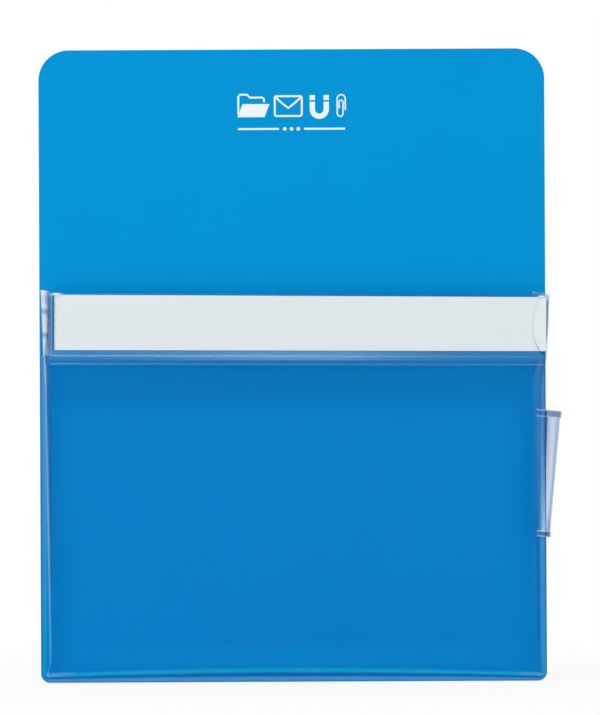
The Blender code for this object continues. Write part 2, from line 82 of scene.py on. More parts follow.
@dataclass(frozen=True)
class Sizes:
    """Sizes and levels that several pieces share, in metres: the solids' own, with the upper corners'
    radius and the band's taper measured again."""

    seat: float = 0.0003
    film: float = 0.0004
    half_width: float = 0.120
    top_z: float = 0.150
    bottom_z: float = -0.150
    front_y: float = -0.0028
    thickness: float = 0.0008
    top_radius: float = 0.0144
    bottom_radius: float = 0.0043
    side_weld: float = 0.0052
    mouth_z: float = 0.0338
    band_height: float = 0.0339
    band_lap: float = 0.0043
    band_below_card: float = 0.0072
    slope: float = math.radians(0.45)
    skew_top: float = 0.0016
    skew_low: float = -0.0017
    pocket_depth: float = 0.0080
    sleeve_depth: float = 0.0017
    sleeve_left: float = -0.1152
    end_weld: float = 0.0019
    sheet_gap: float = 0.00004
    panel_gap: float = 0.00005

    @property
    def weld_x(self) -> float:
        """Distance of the side welds' inner edge from the middle."""
        return self.half_width - self.side_weld

    @property
    def flange(self) -> float:
        """Depth of a welded film's face."""
        return self.seat + self.film

    @property
    def welded_film(self) -> float:
        """Thickness of a welded film, down to just above the sheet."""
        return self.flange - self.sheet_gap

    @property
    def fold(self) -> float:
        """Radius of the fold at the mouth."""
        return self.sleeve_depth / 2

    @property
    def card_bottom(self) -> float:
        """Distance of the card's lower edge below the mouth."""
        return self.band_height - self.band_below_card

    @property
    def panel_top_z(self) -> float:
        """Level of the front panel's upper edge at the middle."""
        return self.mouth_z - self.band_height + self.band_lap

    def place(self, x: Array, depth: Array, z: Array) -> Array:
        """Points from their x, their depth in front of the sheet's face and their height."""
        x, depth, z = np.broadcast_arrays(x, depth, z)
        return np.stack([x, self.front_y - depth, z], axis=-1)

    def place_on_band(self, x: Array, depth: Array, z: Array) -> Array:
        """Points from band coordinates: turned about the mouth's middle by the mouth's slope, then raised to
        it. The band tapers a little, because its upper edge leans more than the slope and its lower edge
        leans less.

        Args:
            x: Distance along the mouth.
            depth: Distance in front of the sheet's face.
            z: Height above the mouth.

        Returns:
            Points with a last axis of three.
        """
        z = z - x * (self.skew_top + (self.skew_low - self.skew_top) * (-z / self.band_height))
        turned_x = x * math.cos(self.slope) + z * math.sin(self.slope)
        turned_z = z * math.cos(self.slope) - x * math.sin(self.slope)
        return self.place(turned_x, depth, turned_z + self.mouth_z)


SIZES = Sizes()


# Surfaces


def ease(value: Array) -> Array:
    """A smooth step: three times the square less twice the cube of the value, held to 0 and 1."""
    held = np.clip(value, 0.0, 1.0)
    return held * held * (3.0 - 2.0 * held)


def hump(value: Array, middle: Array | float, width: Array | float) -> Array:
    """A bell round a middle: e to the minus square of the distance over the width."""
    return np.exp(-(((value - middle) / width) ** 2))


def climb(value: Array, start: float, span: float) -> Array:
    """A smooth step from 0 at the start to 1 a span further on."""
    return ease((value - start) / span)


def fade(value: Array, start: float, span: float) -> Array:
    """A smooth step from 1 at the start to 0 a span further on."""
    return 1 - climb(value, start, span)


def waves(u: Array, v: Array, rows: tuple[tuple[float, ...], ...]) -> Array:
    """Sum of plane waves.

    Args:
        u: First coordinate, in metres.
        v: Second coordinate, in metres.
        rows: For each wave its turns a metre along u and along v, its phase in turns and its height.

    Returns:
        The sum over the waves of height times the sine of the turns.
    """
    table = np.asarray(rows)
    u, v = np.broadcast_arrays(u, v)
    turns = u[..., None] * table[:, 0] + v[..., None] * table[:, 1] + table[:, 2]
    return (np.sin(2.0 * np.pi * turns) * table[:, 3]).sum(axis=-1)


def grid_quads(rows: int, columns: int, wrap: bool) -> Array:
    """Corner numbers of a grid's faces, each from its upper left corner down and round to the right.

    Args:
        rows: Number of rows of points.
        columns: Number of columns of points.
        wrap: Whether the last column joins the first.

    Returns:
        One row of four numbers for each face.
    """
    index = np.arange(rows * columns).reshape(rows, columns)
    if wrap:
        index = np.concatenate([index, index[:, :1]], axis=1)
    corners = (index[:-1, :-1], index[1:, :-1], index[1:, 1:], index[:-1, 1:])
    return np.stack([corner.ravel() for corner in corners], axis=-1)


def grid_normals(points: Array, wrap: bool) -> Array:
    """Unit normals of a grid: the cross product of the step down a column and the step along a row.

    Args:
        points: Grid of points.
        wrap: Whether the last column joins the first.

    Returns:
        A normal for each point.
    """
    down = np.gradient(points, axis=0)
    if wrap:
        along = np.roll(points, -1, axis=1) - np.roll(points, 1, axis=1)
    else:
        along = np.gradient(points, axis=1)
    normal = np.cross(down, along)
    return normal / np.maximum(np.linalg.norm(normal, axis=-1, keepdims=True), 1e-12)


@dataclass
class Look:
    """What a clear finish reads for each point of a film, field by field: how milky it is, with painted
    highlights laid into the same share; painted shade, as a deeper colour; a painted glow, the share of the
    milk that takes the sheet's own blue as if lit by it; and painted highlights, as an extra share of mirror."""

    frost_and_painted_highlight: Array | float = 0.0
    tone: Array | float = 0.0
    painted_glow: Array | float = 0.0
    shine: Array | float = 0.0

    def __add__(self, other: "Look") -> "Look":
        """Both looks together."""
        return Look(*(mine + its for mine, its in zip(vars(self).values(), vars(other).values())))

    def fields(self, welded: Array | float, grid: Array) -> dict[str, Array]:
        """The look as values by name.

        Args:
            welded: Where the film is welded down, from 0 to 1.
            grid: Any values of the film's points, for their shape.

        Returns:
            Values by name, one for each point.
        """
        values = {"weld": welded, **vars(self)}
        for title in ("tone", "painted_glow"):
            values[title] = np.clip(values[title], 0, 1)
        return {title: value + 0 * grid for title, value in values.items()}


def write_mesh(name: str, points: Array, faces: list[list[int]], fields: dict[str, Array]) -> Mesh:
    """A mesh from points and faces, shaded smooth up to its hard edges.

    Args:
        name: Name of the mesh.
        points: One row of three coordinates for each point.
        faces: Corner numbers of each face.
        fields: Values for each point, kept as attributes that a finish reads.

    Returns:
        The mesh.
    """
    mesh = bpy.data.meshes.new(name)
    mesh.from_pydata(points.tolist(), [], faces)
    for title, values in fields.items():
        layer = mesh.attributes.new(title, "FLOAT", "POINT")
        layer.data.foreach_set("value", np.asarray(values, np.float32).ravel())
    mesh.validate()
    mesh.shade_smooth()
    mesh.set_sharp_from_angle(angle=SMOOTH_BEND)
    return mesh


def film_shell(outer: Array, thickness: Array | float, wrap: bool = False) -> tuple[Array, Array]:
    """Points and faces of a closed film under an outer surface.

    Its inner side is the outer one less its unit normal times the thickness, and strips close the rims.

    Args:
        outer: Grid of points, with rows down and columns to the right as seen from outside.
        thickness: Film thickness, one value or one for each point.
        wrap: Whether the last column joins the first.

    Returns:
        One row of coordinates for each point, and one row of corner numbers for each face.
    """
    rows, columns, _ = outer.shape
    depth = np.broadcast_to(np.asarray(thickness, float), (rows, columns))
    inner = outer - grid_normals(outer, wrap) * depth[..., None]
    face = grid_quads(rows, columns, wrap)
    count = rows * columns
    index = np.arange(count).reshape(rows, columns)
    rims = [(index[0], True), (index[-1], False)]
    if not wrap:
        rims += [(index[:, 0], False), (index[:, -1], True)]
    strips = []
    for line, forwards in rims:
        closed = np.append(line, line[0]) if wrap else line
        start, end = (closed[:-1], closed[1:]) if forwards else (closed[1:], closed[:-1])
        strips.append(np.stack([start, end, end + count, start + count], axis=-1))
    faces = np.concatenate([face, face[:, ::-1] + count, *strips])
    return np.concatenate([outer.reshape(-1, 3), inner.reshape(-1, 3)]), faces


def film_mesh(
    name: str, outer: Array, thickness: Array | float, fields: dict[str, Array] | None = None
) -> Mesh:
    """A closed film as a mesh.

    Args:
        name: Name of the mesh.
        outer: Grid of points, with rows down and columns to the right as seen from outside.
        thickness: Film thickness, one value or one for each point.
        fields: Values for each point of the outer surface.

    Returns:
        The mesh.
    """
    points, faces = film_shell(outer, thickness)
    both = {title: np.tile(values.ravel(), 2) for title, values in (fields or {}).items()}
    return write_mesh(name, points, faces.tolist(), both)


def swept_mesh(name: str, loops: Array) -> Mesh:
    """A solid through a row of closed loops, with a fan to the middle of each end loop.

    Args:
        name: Name of the mesh.
        loops: Points, first by loop and then round the loop, clockwise as seen from the first loop's end.

    Returns:
        The mesh.
    """
    count, around, _ = loops.shape
    faces = grid_quads(count, around, True).tolist()
    points = np.concatenate([loops.reshape(-1, 3), loops[[0, -1]].mean(axis=1)])
    turn = np.arange(around)
    after = np.roll(turn, -1)
    first = np.stack([turn, after, np.full(around, count * around)], axis=-1)
    base = (count - 1) * around
    last = np.stack([base + after, base + turn, np.full(around, count * around + 1)], axis=-1)
    return write_mesh(name, points, faces + first.tolist() + last.tolist(), {})


def add_piece(mesh: Mesh, finish: Material, body: str = "root") -> Object:
    """Puts a mesh into the scene as a piece that moves with a body.

    Args:
        mesh: The finished mesh, its place in its points.
        finish: Material for all of it.
        body: Name of the body that it rides on.

    Returns:
        The object.
    """
    piece = bpy.data.objects.new(mesh.name, mesh)
    bpy.context.scene.collection.objects.link(piece)
    mesh.materials.append(finish)
    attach(piece, body)
    LOG.info("%s: %d faces", piece.name, len(mesh.polygons))
    return piece


def soften(piece: Object, width: float) -> None:
    """Rounds the hard edges of a piece, with two faces across.

    Args:
        piece: The piece.
        width: Width of the rounding.
    """
    bevel = piece.modifiers.new("rounded_edges", "BEVEL")
    bevel.width = width
    bevel.segments = 2
    bevel.limit_method = "ANGLE"
    bevel.angle_limit = HARD_BEND


# Finishes


class Graph:
    """Node tree of a material or the world, with short calls for the nodes that the finishes share."""

    def __init__(self, owner: Material | World, output: str = "ShaderNodeOutputMaterial") -> None:
        """Starts an empty tree with its output.

        Args:
            owner: The material or world.
            output: Blender's name of the output node's type.
        """
        self.owner = owner
        owner.use_nodes = True
        self.tree = owner.node_tree
        self.tree.nodes.clear()
        self.output = self.tree.nodes.new(output)

    @classmethod
    def material(cls, name: str) -> "Graph":
        """Tree of a new material."""
        return cls(bpy.data.materials.new(name))

    @cached_property
    def coordinates(self) -> NodeSocket:
        """The piece's own coordinates."""
        return self.node("ShaderNodeTexCoord").outputs["Object"]

    def node(self, kind: str, inputs: dict[str | int, Input] | None = None, **settings: str) -> Node:
        """Adds a node.

        Args:
            kind: Blender's name of the node type.
            inputs: Value or linked socket for each input, by name or number.
            **settings: Properties of the node.

        Returns:
            The node.
        """
        made = self.tree.nodes.new(kind)
        for title, value in settings.items():
            setattr(made, title, value)
        for title, value in (inputs or {}).items():
            self.feed(made.inputs[title], value)
        return made

    def feed(self, socket: NodeSocket, value: Input) -> None:
        """Links a socket to another one, or sets its own value.

        Args:
            socket: The socket that is fed.
            value: The other socket, or the value. A colour may have three numbers.
        """
        if isinstance(value, NodeSocket):
            self.tree.links.new(value, socket)
        elif isinstance(value, tuple) and len(value) == 3 and socket.type == "RGBA":
            socket.default_value = (*value, 1.0)
        else:
            socket.default_value = value

    def math(self, operation: str, *values: Input) -> NodeSocket:
        """Result of an operation on values or sockets."""
        return self.node("ShaderNodeMath", dict(enumerate(values)), operation=operation).outputs[0]

    def attribute(self, title: str) -> NodeSocket:
        """A value that the piece's mesh carries for each point."""
        return self.node("ShaderNodeAttribute", attribute_name=title).outputs["Fac"]

    def stretched(self, scale: tuple[float, float, float]) -> NodeSocket:
        """The piece's coordinates, scaled along each axis."""
        return self.node("ShaderNodeMapping", {"Vector": self.coordinates, "Scale": scale}).outputs[0]

    def noise(
        self, scale: float, detail: float, rough: float, vector: NodeSocket | None = None
    ) -> NodeSocket:
        """Clouds from 0 to 1, as many a metre as the scale, with finer layers, each a share of the last."""
        inputs = {"Vector": vector or self.coordinates, "Scale": scale, "Detail": detail, "Roughness": rough}
        return self.node("ShaderNodeTexNoise", inputs).outputs["Fac"]

    def between(self, value: Input, low: float, high: float, start: float, end: float) -> NodeSocket:
        """Maps low to start and high to end, held between them."""
        inputs = {"Value": value, "From Min": low, "From Max": high, "To Min": start, "To Max": end}
        return self.node("ShaderNodeMapRange", inputs).outputs["Result"]

    def blend(self, share: Input, first: Input, second: Input) -> NodeSocket:
        """A colour between two colours.

        Args:
            share: Share of the second colour.
            first: The first colour.
            second: The second colour.

        Returns:
            The colour socket.
        """
        made = self.node("ShaderNodeMix", data_type="RGBA")
        for socket, value in ((made.inputs[0], share), (made.inputs[6], first), (made.inputs[7], second)):
            self.feed(socket, value)
        return made.outputs[2]

    def bump(self, height: NodeSocket, distance: float, strength: float) -> NodeSocket:
        """A surface normal from a height."""
        inputs = {"Height": height, "Distance": distance, "Strength": strength}
        return self.node("ShaderNodeBump", inputs).outputs[0]

    def seen(self) -> NodeSocket:
        """Tells what the camera sees from other light.

        Returns:
            Socket of 1 for what it sees, directly, in mirrors or through clear film, and 0 for other light.
        """
        rays = self.node("ShaderNodeLightPath").outputs
        mirrored = self.math("MAXIMUM", rays["Is Camera Ray"], rays["Is Glossy Ray"])
        return self.math("MAXIMUM", mirrored, rays["Is Transmission Ray"])

    def mix(self, share: NodeSocket, first: Node, second: Node) -> Node:
        """A shader between two shaders."""
        return self.node("ShaderNodeMixShader", {0: share, 1: first.outputs[0], 2: second.outputs[0]})

    def finish(self, shader: Node) -> Material | World:
        """Links the shader to the output and returns the material or world."""
        self.feed(self.output.inputs["Surface"], shader.outputs[0])
        return self.owner


@dataclass(frozen=True)
class OpaqueFinish:
    """A solid material: its colour and roughness drift in soft clouds, and a fine pattern and perhaps
    specks lie over them."""

    name: str
    colour: tuple[float, float, float]
    second: tuple[float, float, float]
    roughness: float
    shine: float
    pattern: Pattern
    pitch: float
    relief: float = 0.00002
    speck_share: float = 0.0
    speck: tuple[float, float, float] = (0.5, 0.5, 0.5)

    def height(self, graph: Graph) -> NodeSocket:
        """Height of the fine pattern: grain alike all ways, fibres or drawn lines along x.

        Args:
            graph: The material's node tree.

        Returns:
            The height socket, from 0 to 1.
        """
        turns = 1.0 / self.pitch
        if self.pattern is Pattern.GRAIN:
            return graph.noise(turns, 4.0, 0.6)
        if self.pattern is Pattern.FIBRES:
            lying = graph.noise(turns, 3.0, 0.6, graph.stretched((0.25, 1.0, 1.0)))
            standing = graph.noise(turns, 3.0, 0.6, graph.stretched((1.0, 1.0, 0.3)))
            return graph.math("MAXIMUM", lying, standing)
        return graph.noise(turns, 2.0, 0.5, graph.stretched((0.02, 1.0, 1.0)))

    def build(self) -> Material:
        """The material: two colours in soft clouds and in the fine pattern, and specks if it has any.

        Returns:
            The material.
        """
        graph = Graph.material(self.name)
        height = self.height(graph)
        cloud = graph.noise(22.0, 3.0, 0.55)
        fine = graph.between(height, 0.35, 0.65, 0.0, 1.0)
        drift = graph.between(cloud, 0.3, 0.7, 0.0, 0.65)
        share = graph.math("ADD", graph.math("MULTIPLY", fine, 0.35), drift)
        colour = graph.blend(share, self.colour, self.second)
        if self.speck_share:
            dots = graph.noise(2600.0, 1.0, 0.4)
            colour = graph.blend(graph.between(dots, 0.72, 0.78, 0.0, self.speck_share), colour, self.speck)
        scuff = graph.noise(90.0, 5.0, 0.7, graph.stretched((1.0, 1.0, 0.35)))
        rough = graph.between(scuff, 0.3, 0.75, self.roughness - 0.06, self.roughness + 0.07)
        inputs = {
            "Base Color": colour,
            "Roughness": rough,
            "Specular IOR Level": self.shine,
            "Normal": graph.bump(height, self.relief, 0.6),
        }
        return graph.finish(graph.node("ShaderNodeBsdfPrincipled", inputs))


@dataclass(frozen=True)
class ClearFinish:
    """Clear soft film. Each face lets light through with a faint tint, deeper where it is seen edge on,
    and mirrors as plastic does. Its mesh carries a Look of painted highlights, painted shade and a painted
    glow, and says where it is welded down ("weld")."""

    name: str
    tint: tuple[float, float, float] = (0.90, 0.938, 0.974)
    edge_tint: tuple[float, float, float] = (0.20, 0.46, 0.66)
    weld_tint: tuple[float, float, float] = (0.99, 0.994, 0.997)
    milk: tuple[float, float, float] = (0.56, 0.88, 0.99)
    white_milk: tuple[float, float, float] = (0.84, 0.93, 0.96)
    # Colour of the painted glow: the sheet's blue, as if the film gathered the sheet's light.
    painted_glow: tuple[float, float, float] = (0.01, 0.70, 1.0)
    scuff: tuple[float, float, float] = (0.03, 0.33, 0.66)
    haze: float = 0.010
    weld_haze: float = 0.012
    roughness: float = 0.10
    relief: float = 0.00006
    mirror: float = 0.001
    grazing_mirror: float = 0.16

    def milk_share(self, graph: Graph, knurl: NodeSocket) -> tuple[NodeSocket, NodeSocket]:
        """How milky the film is: faint scuffs everywhere, a trace of ribs on welds, and the mesh's own milk
        and painted highlights with fine crazing.

        Args:
            graph: The material's node tree.
            knurl: Height of the weld's ribs.

        Returns:
            Sockets of the whole share, and of the part that isn't scuffs.
        """
        cloud = graph.noise(70.0, 4.0, 0.65)
        scratches = graph.noise(160.0, 2.0, 0.5, graph.stretched((6.0, 1.0, 0.12)))
        marks = graph.between(scratches, 0.66, 0.76, 0.0, 0.012)
        handled = graph.math("ADD", graph.between(cloud, 0.35, 0.75, 0.0, self.haze), marks)
        ribs = graph.between(knurl, 0.2, 0.8, 0.45, 1.2)
        welded = graph.math("MULTIPLY", graph.math("MULTIPLY", graph.attribute("weld"), ribs), self.weld_haze)
        crazing = graph.between(graph.noise(260.0, 4.0, 0.6), 0.35, 0.65, 0.84, 1.0)
        clouded = graph.math("ADD", welded, graph.math("MULTIPLY", graph.attribute("frost_and_painted_highlight"), crazing))
        return graph.math("MINIMUM", graph.math("ADD", handled, clouded), 0.95), clouded

    def build(self) -> Material:
        """The material: clear film, the mirror of its skin over it, and the milk over both.

        Returns:
            The material.
        """
        graph = Graph.material(self.name)
        facing = graph.node("ShaderNodeLayerWeight", {"Blend": 0.5}).outputs["Facing"]

        # Skin: a faint orange peel, and a knurl of fine cross ribs on the welds
        peel = graph.noise(420.0, 3.0, 0.5)
        wave = {"Scale": 300.0, "Distortion": 1.2, "Detail": 1.0, "Detail Scale": 1.5}
        wave["Vector"] = graph.coordinates
        knurl = graph.node("ShaderNodeTexWave", wave, bands_direction="Z").outputs["Fac"]
        ribs = graph.math("MULTIPLY", knurl, graph.attribute("weld"))
        height = graph.math("ADD", graph.math("MULTIPLY", peel, 0.05), ribs)
        normal = graph.bump(height, self.relief, 0.7)

        # Light through the film: deeper in colour edge on and where the mesh paints shade, paler where welded
        # down
        paler = graph.blend(graph.attribute("weld"), self.tint, self.weld_tint)
        deep = graph.math("MAXIMUM", graph.math("POWER", facing, 6.0), graph.attribute("tone"))
        clear = graph.node("ShaderNodeBsdfTransparent", {"Color": graph.blend(deep, paler, self.edge_tint)})

        # Mirror of a plastic face, weak from the front and stronger at a grazing angle, plus painted
        # highlights
        grazing = graph.math("POWER", facing, 5.0)
        share = graph.math("MULTIPLY_ADD", grazing, self.grazing_mirror, self.mirror)
        share = graph.math("ADD", share, graph.attribute("shine"))
        inputs = {"Roughness": self.roughness, "Normal": normal, "Color": (1.0, 1.0, 1.0)}
        gloss = graph.node("ShaderNodeBsdfAnisotropic", inputs)
        skin = graph.mix(share, clear, gloss)

        # Milk, bluish where it is thin and white where it is thick, and the painted glow's blue where the
        # mesh asks
        milk, clouded = self.milk_share(graph, knurl)
        thin = graph.blend(graph.between(clouded, 0.0, 0.04, 0.0, 1.0), self.scuff, self.milk)
        thick = graph.blend(graph.between(clouded, 0.12, 0.45, 0.0, 1.0), thin, self.white_milk)
        colour = graph.blend(graph.attribute("painted_glow"), thick, self.painted_glow)
        inputs = {"Base Color": colour, "Roughness": 0.38, "Specular IOR Level": 0.08, "Normal": normal}
        body = graph.node("ShaderNodeBsdfPrincipled", inputs)
        return graph.finish(graph.mix(milk, skin, body))


def build_finishes() -> dict[str, Material]:
    """Builds each finish once.

    Returns:
        Materials by what they are used for.
    """
    rubber = OpaqueFinish(
        "magnet_rubber", (0.030, 0.026, 0.024), (0.050, 0.043, 0.038), 0.62, 0.35, Pattern.EXTRUSION, 0.0004
    )
    sleeve = ClearFinish(
        "clear_sleeve_vinyl",
        tint=(0.997, 0.998, 0.999),
        edge_tint=(0.22, 0.39, 0.53),
        milk=(0.50, 0.80, 1.0),
        white_milk=(0.97, 0.99, 1.0),
        painted_glow=(0.01, 0.48, 1.0),
        scuff=(0.74, 0.79, 0.81),
        haze=0.005,
    )
    finishes = {
        "sheet": OpaqueFinish(
            "blue_vinyl", (0.0, 0.284, 0.645), (0.0, 0.294, 0.660), 0.45, 0.04, Pattern.GRAIN, 0.0007, 0.00003
        ),
        "ink": OpaqueFinish(
            "white_ink", (0.84, 0.90, 0.94), (0.80, 0.88, 0.93), 0.5, 0.3, Pattern.GRAIN, 0.0004, 0.00001
        ),
        "film": ClearFinish("clear_vinyl"),
        "sleeve": sleeve,
        "pen": ClearFinish(
            "clear_pen_vinyl",
            tint=(1.0, 1.0, 1.0),
            edge_tint=(0.26, 0.42, 0.65),
            milk=(0.56, 0.80, 0.98),
            haze=0.004,
        ),
        "card": OpaqueFinish(
            "label_paper", (0.778, 0.822, 0.838), (0.796, 0.838, 0.852), 0.72, 0.08, Pattern.FIBRES, 0.0009
        ),
        "magnet": replace(rubber, relief=0.00004, speck_share=0.35, speck=(0.16, 0.14, 0.13)),
        "tape": OpaqueFinish(
            "tape_paper", (0.80, 0.78, 0.70), (0.86, 0.84, 0.78), 0.6, 0.3, Pattern.FIBRES, 0.0007
        ),
    }
    return {use: finish.build() for use, finish in finishes.items()}


# Back sheet


@dataclass
class BackSheet:
    """The blue sheet."""

    edge_rounding: float = 0.00022
    rows_in_corner: int = 22
    rows_between: int = 60
    columns: int = 48

    def half_width_at(self, z: Array) -> Array:
        """Half of the sheet's width at a height: less a circle's sagitta within the corners.

        Args:
            z: Heights.

        Returns:
            Half of the width at each height.
        """
        half = np.full_like(z, SIZES.half_width)
        ends = ((SIZES.top_radius, SIZES.top_z - z), (SIZES.bottom_radius, z - SIZES.bottom_z))
        for radius, inside in ends:
            held = np.clip(inside, 0.0, radius)
            half -= radius - np.sqrt(np.maximum(radius**2 - (radius - held) ** 2, 0.0))
        return half

    def build(self, finish: Material) -> None:
        """The sheet: each row of its face spans the outline at the row's height, and rows lie closest in the
        corners.

        Args:
            finish: Material of the sheet.
        """
        turn = np.linspace(0.0, np.pi / 2, self.rows_in_corner)
        top = SIZES.top_z - SIZES.top_radius * (1 - np.cos(turn))
        low = SIZES.bottom_z + SIZES.bottom_radius * (1 - np.cos(turn[::-1]))
        between = np.linspace(top[-1], low[0], self.rows_between + 2)[1:-1]
        z = np.concatenate([top, between, low])[:, None]
        across = np.linspace(-1.0, 1.0, self.columns)[None, :]
        outer = SIZES.place(across * self.half_width_at(z), 0.0, z)
        piece = add_piece(film_mesh("back_sheet_vinyl", outer, SIZES.thickness), finish)
        soften(piece, self.edge_rounding)
        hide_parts("back_sheet")


@dataclass
class PrintedMarks:
    """Plain white office signs on the sheet, drawn in millimetres about the signs' middle."""

    z: float = 0.1185
    ink_depth: float = 0.00003
    ink_thickness: float = 0.000039
    unit: float = 0.001
    line: float = 0.9
    shells: list[tuple[Array, Array]] = field(default_factory=list)

    def strip(self, upper: Array, lower: Array, closed: bool = False) -> None:
        """Adds the ink between two lines.

        Args:
            upper: Points in x and z, from left to right.
            lower: As many points below them.
            closed: Whether both lines run back to their start.
        """
        flat = np.stack([upper, lower]) * self.unit
        outer = SIZES.place(flat[..., 0], self.ink_depth, flat[..., 1] + self.z)
        self.shells.append(film_shell(outer, self.ink_thickness, closed))

    def ribbon(self, path: Array, width: float | Array, closed: bool = False) -> None:
        """Adds a line of ink: its path moved half the width to each side.

        Args:
            path: Points in x and z.
            width: Width of the line, one value or one for each point.
            closed: Whether the path runs back to its start, and then it runs clockwise.
        """
        step = np.roll(path, -1, axis=0) - np.roll(path, 1, axis=0) if closed else np.gradient(path, axis=0)
        step = step / np.linalg.norm(step, axis=1, keepdims=True)
        across = np.stack([-step[:, 1], step[:, 0]], axis=1) * np.reshape(width, (-1, 1)) / 2
        self.strip(path + across, path - across, closed)

    def arc(self, centre: tuple[float, float], radii: tuple[float, float], start: float, end: float) -> Array:
        """Points on an ellipse from one angle to another, in degrees from the right, anticlockwise."""
        turn = np.radians(np.linspace(start, end, 15))
        return np.stack([centre[0] + radii[0] * np.cos(turn), centre[1] + radii[1] * np.sin(turn)], axis=1)

    def draw_folder(self) -> None:
        """A folder: its back with a tab as a line, and a filled slanting front."""
        tab = [(-25.2, 0.6), (-25.2, 9.2), (-24.4, 10.1), (-21.0, 10.1), (-19.8, 8.7)]
        self.ribbon(np.array([*tab, (-13.7, 8.7), (-13.0, 8.0), (-13.0, 6.5)]), self.line)
        self.strip(np.array([(-23.2, 5.6), (-10.4, 5.6)]), np.array([(-25.6, -0.6), (-12.8, -0.6)]))

    def draw_envelope(self) -> None:
        """An envelope: a rounded outline with a flap."""
        corners = (((-7.0, 8.4), 180), ((4.0, 8.4), 90), ((4.0, 0.8), 0), ((-7.0, 0.8), -90))
        arcs = [self.arc(centre, (0.9, 0.9), start, start - 90) for centre, start in corners]
        self.ribbon(np.concatenate(arcs), self.line, True)
        self.ribbon(np.array([(-7.2, 8.5), (-4.4, 5.9), (-1.5, 3.7), (1.4, 5.9), (4.2, 8.5)]), self.line)

    def draw_magnet(self) -> None:
        """A horseshoe magnet: a broad bow with two legs, and a tip above a gap on each leg."""
        bow = self.arc((13.2, 3.0), (3.3, 3.3), 180, 360)
        self.ribbon(np.concatenate([[(9.9, 6.6)], bow, [(16.5, 6.6)]]), 2.5)
        for x in (9.9, 16.5):
            left, right = x - 1.25, x + 1.25
            self.strip(np.array([(left, 9.8), (right, 9.8)]), np.array([(left, 7.4), (right, 7.4)]))

    def draw_clip(self) -> None:
        """A paper clip: one thin line of three turns."""
        turns = [
            [(25.5, 2.6)],
            self.arc((23.6, 7.9), (1.9, 2.0), 0, 180),
            self.arc((23.1, 1.2), (1.4, 1.6), 180, 360),
            self.arc((23.55, 6.3), (0.95, 1.0), 0, 180),
            [(22.6, 3.4)],
        ]
        self.ribbon(np.concatenate(turns), 0.65)

    def draw_rule(self) -> None:
        """A rule under the signs, broken by three dots, each a ribbon as wide as its circle."""
        for start, end in ((-25.4, -6.0), (6.0, 25.4)):
            self.ribbon(np.stack([np.linspace(start, end, 5), np.full(5, -6.2)], axis=1), self.line)
        turn = np.radians(np.linspace(170, 10, 13))
        for x in (-3.2, 0.0, 3.2):
            self.ribbon(np.stack([x + 0.85 * np.cos(turn), np.full(13, -6.2)], axis=1), 1.7 * np.sin(turn))

    def build(self, finish: Material) -> None:
        """All the signs as one piece of thin closed layers.

        Args:
            finish: Material of the ink.
        """
        for draw in (self.draw_folder, self.draw_envelope, self.draw_magnet, self.draw_clip, self.draw_rule):
            draw()
        starts = np.cumsum([0] + [len(points) for points, _ in self.shells[:-1]])
        points = np.concatenate([shell[0] for shell in self.shells])
        faces = np.concatenate([shell[1] + start for shell, start in zip(self.shells, starts)])
        add_piece(write_mesh("printed_marks", points, faces.tolist(), {}), finish)


# Front panel


@dataclass
class PanelPlaces:
    """Where the front panel's points lie: their x and z, how far they are down the ramp and the bottom
    weld, from 0 to 1, their way up a wall (under 0 on a flange and over 1 on the front), and their reach
    over a flange, from 0 at the weld's inner edge to 1 at the sheet's edge."""

    x: Array
    z: Array
    ramp: Array
    weld: Array
    way: Array
    reach: Array

    @property
    def on_flange(self) -> Array:
        """1 on the flanges and 0 elsewhere."""
        return (self.way < 0) * 1.0


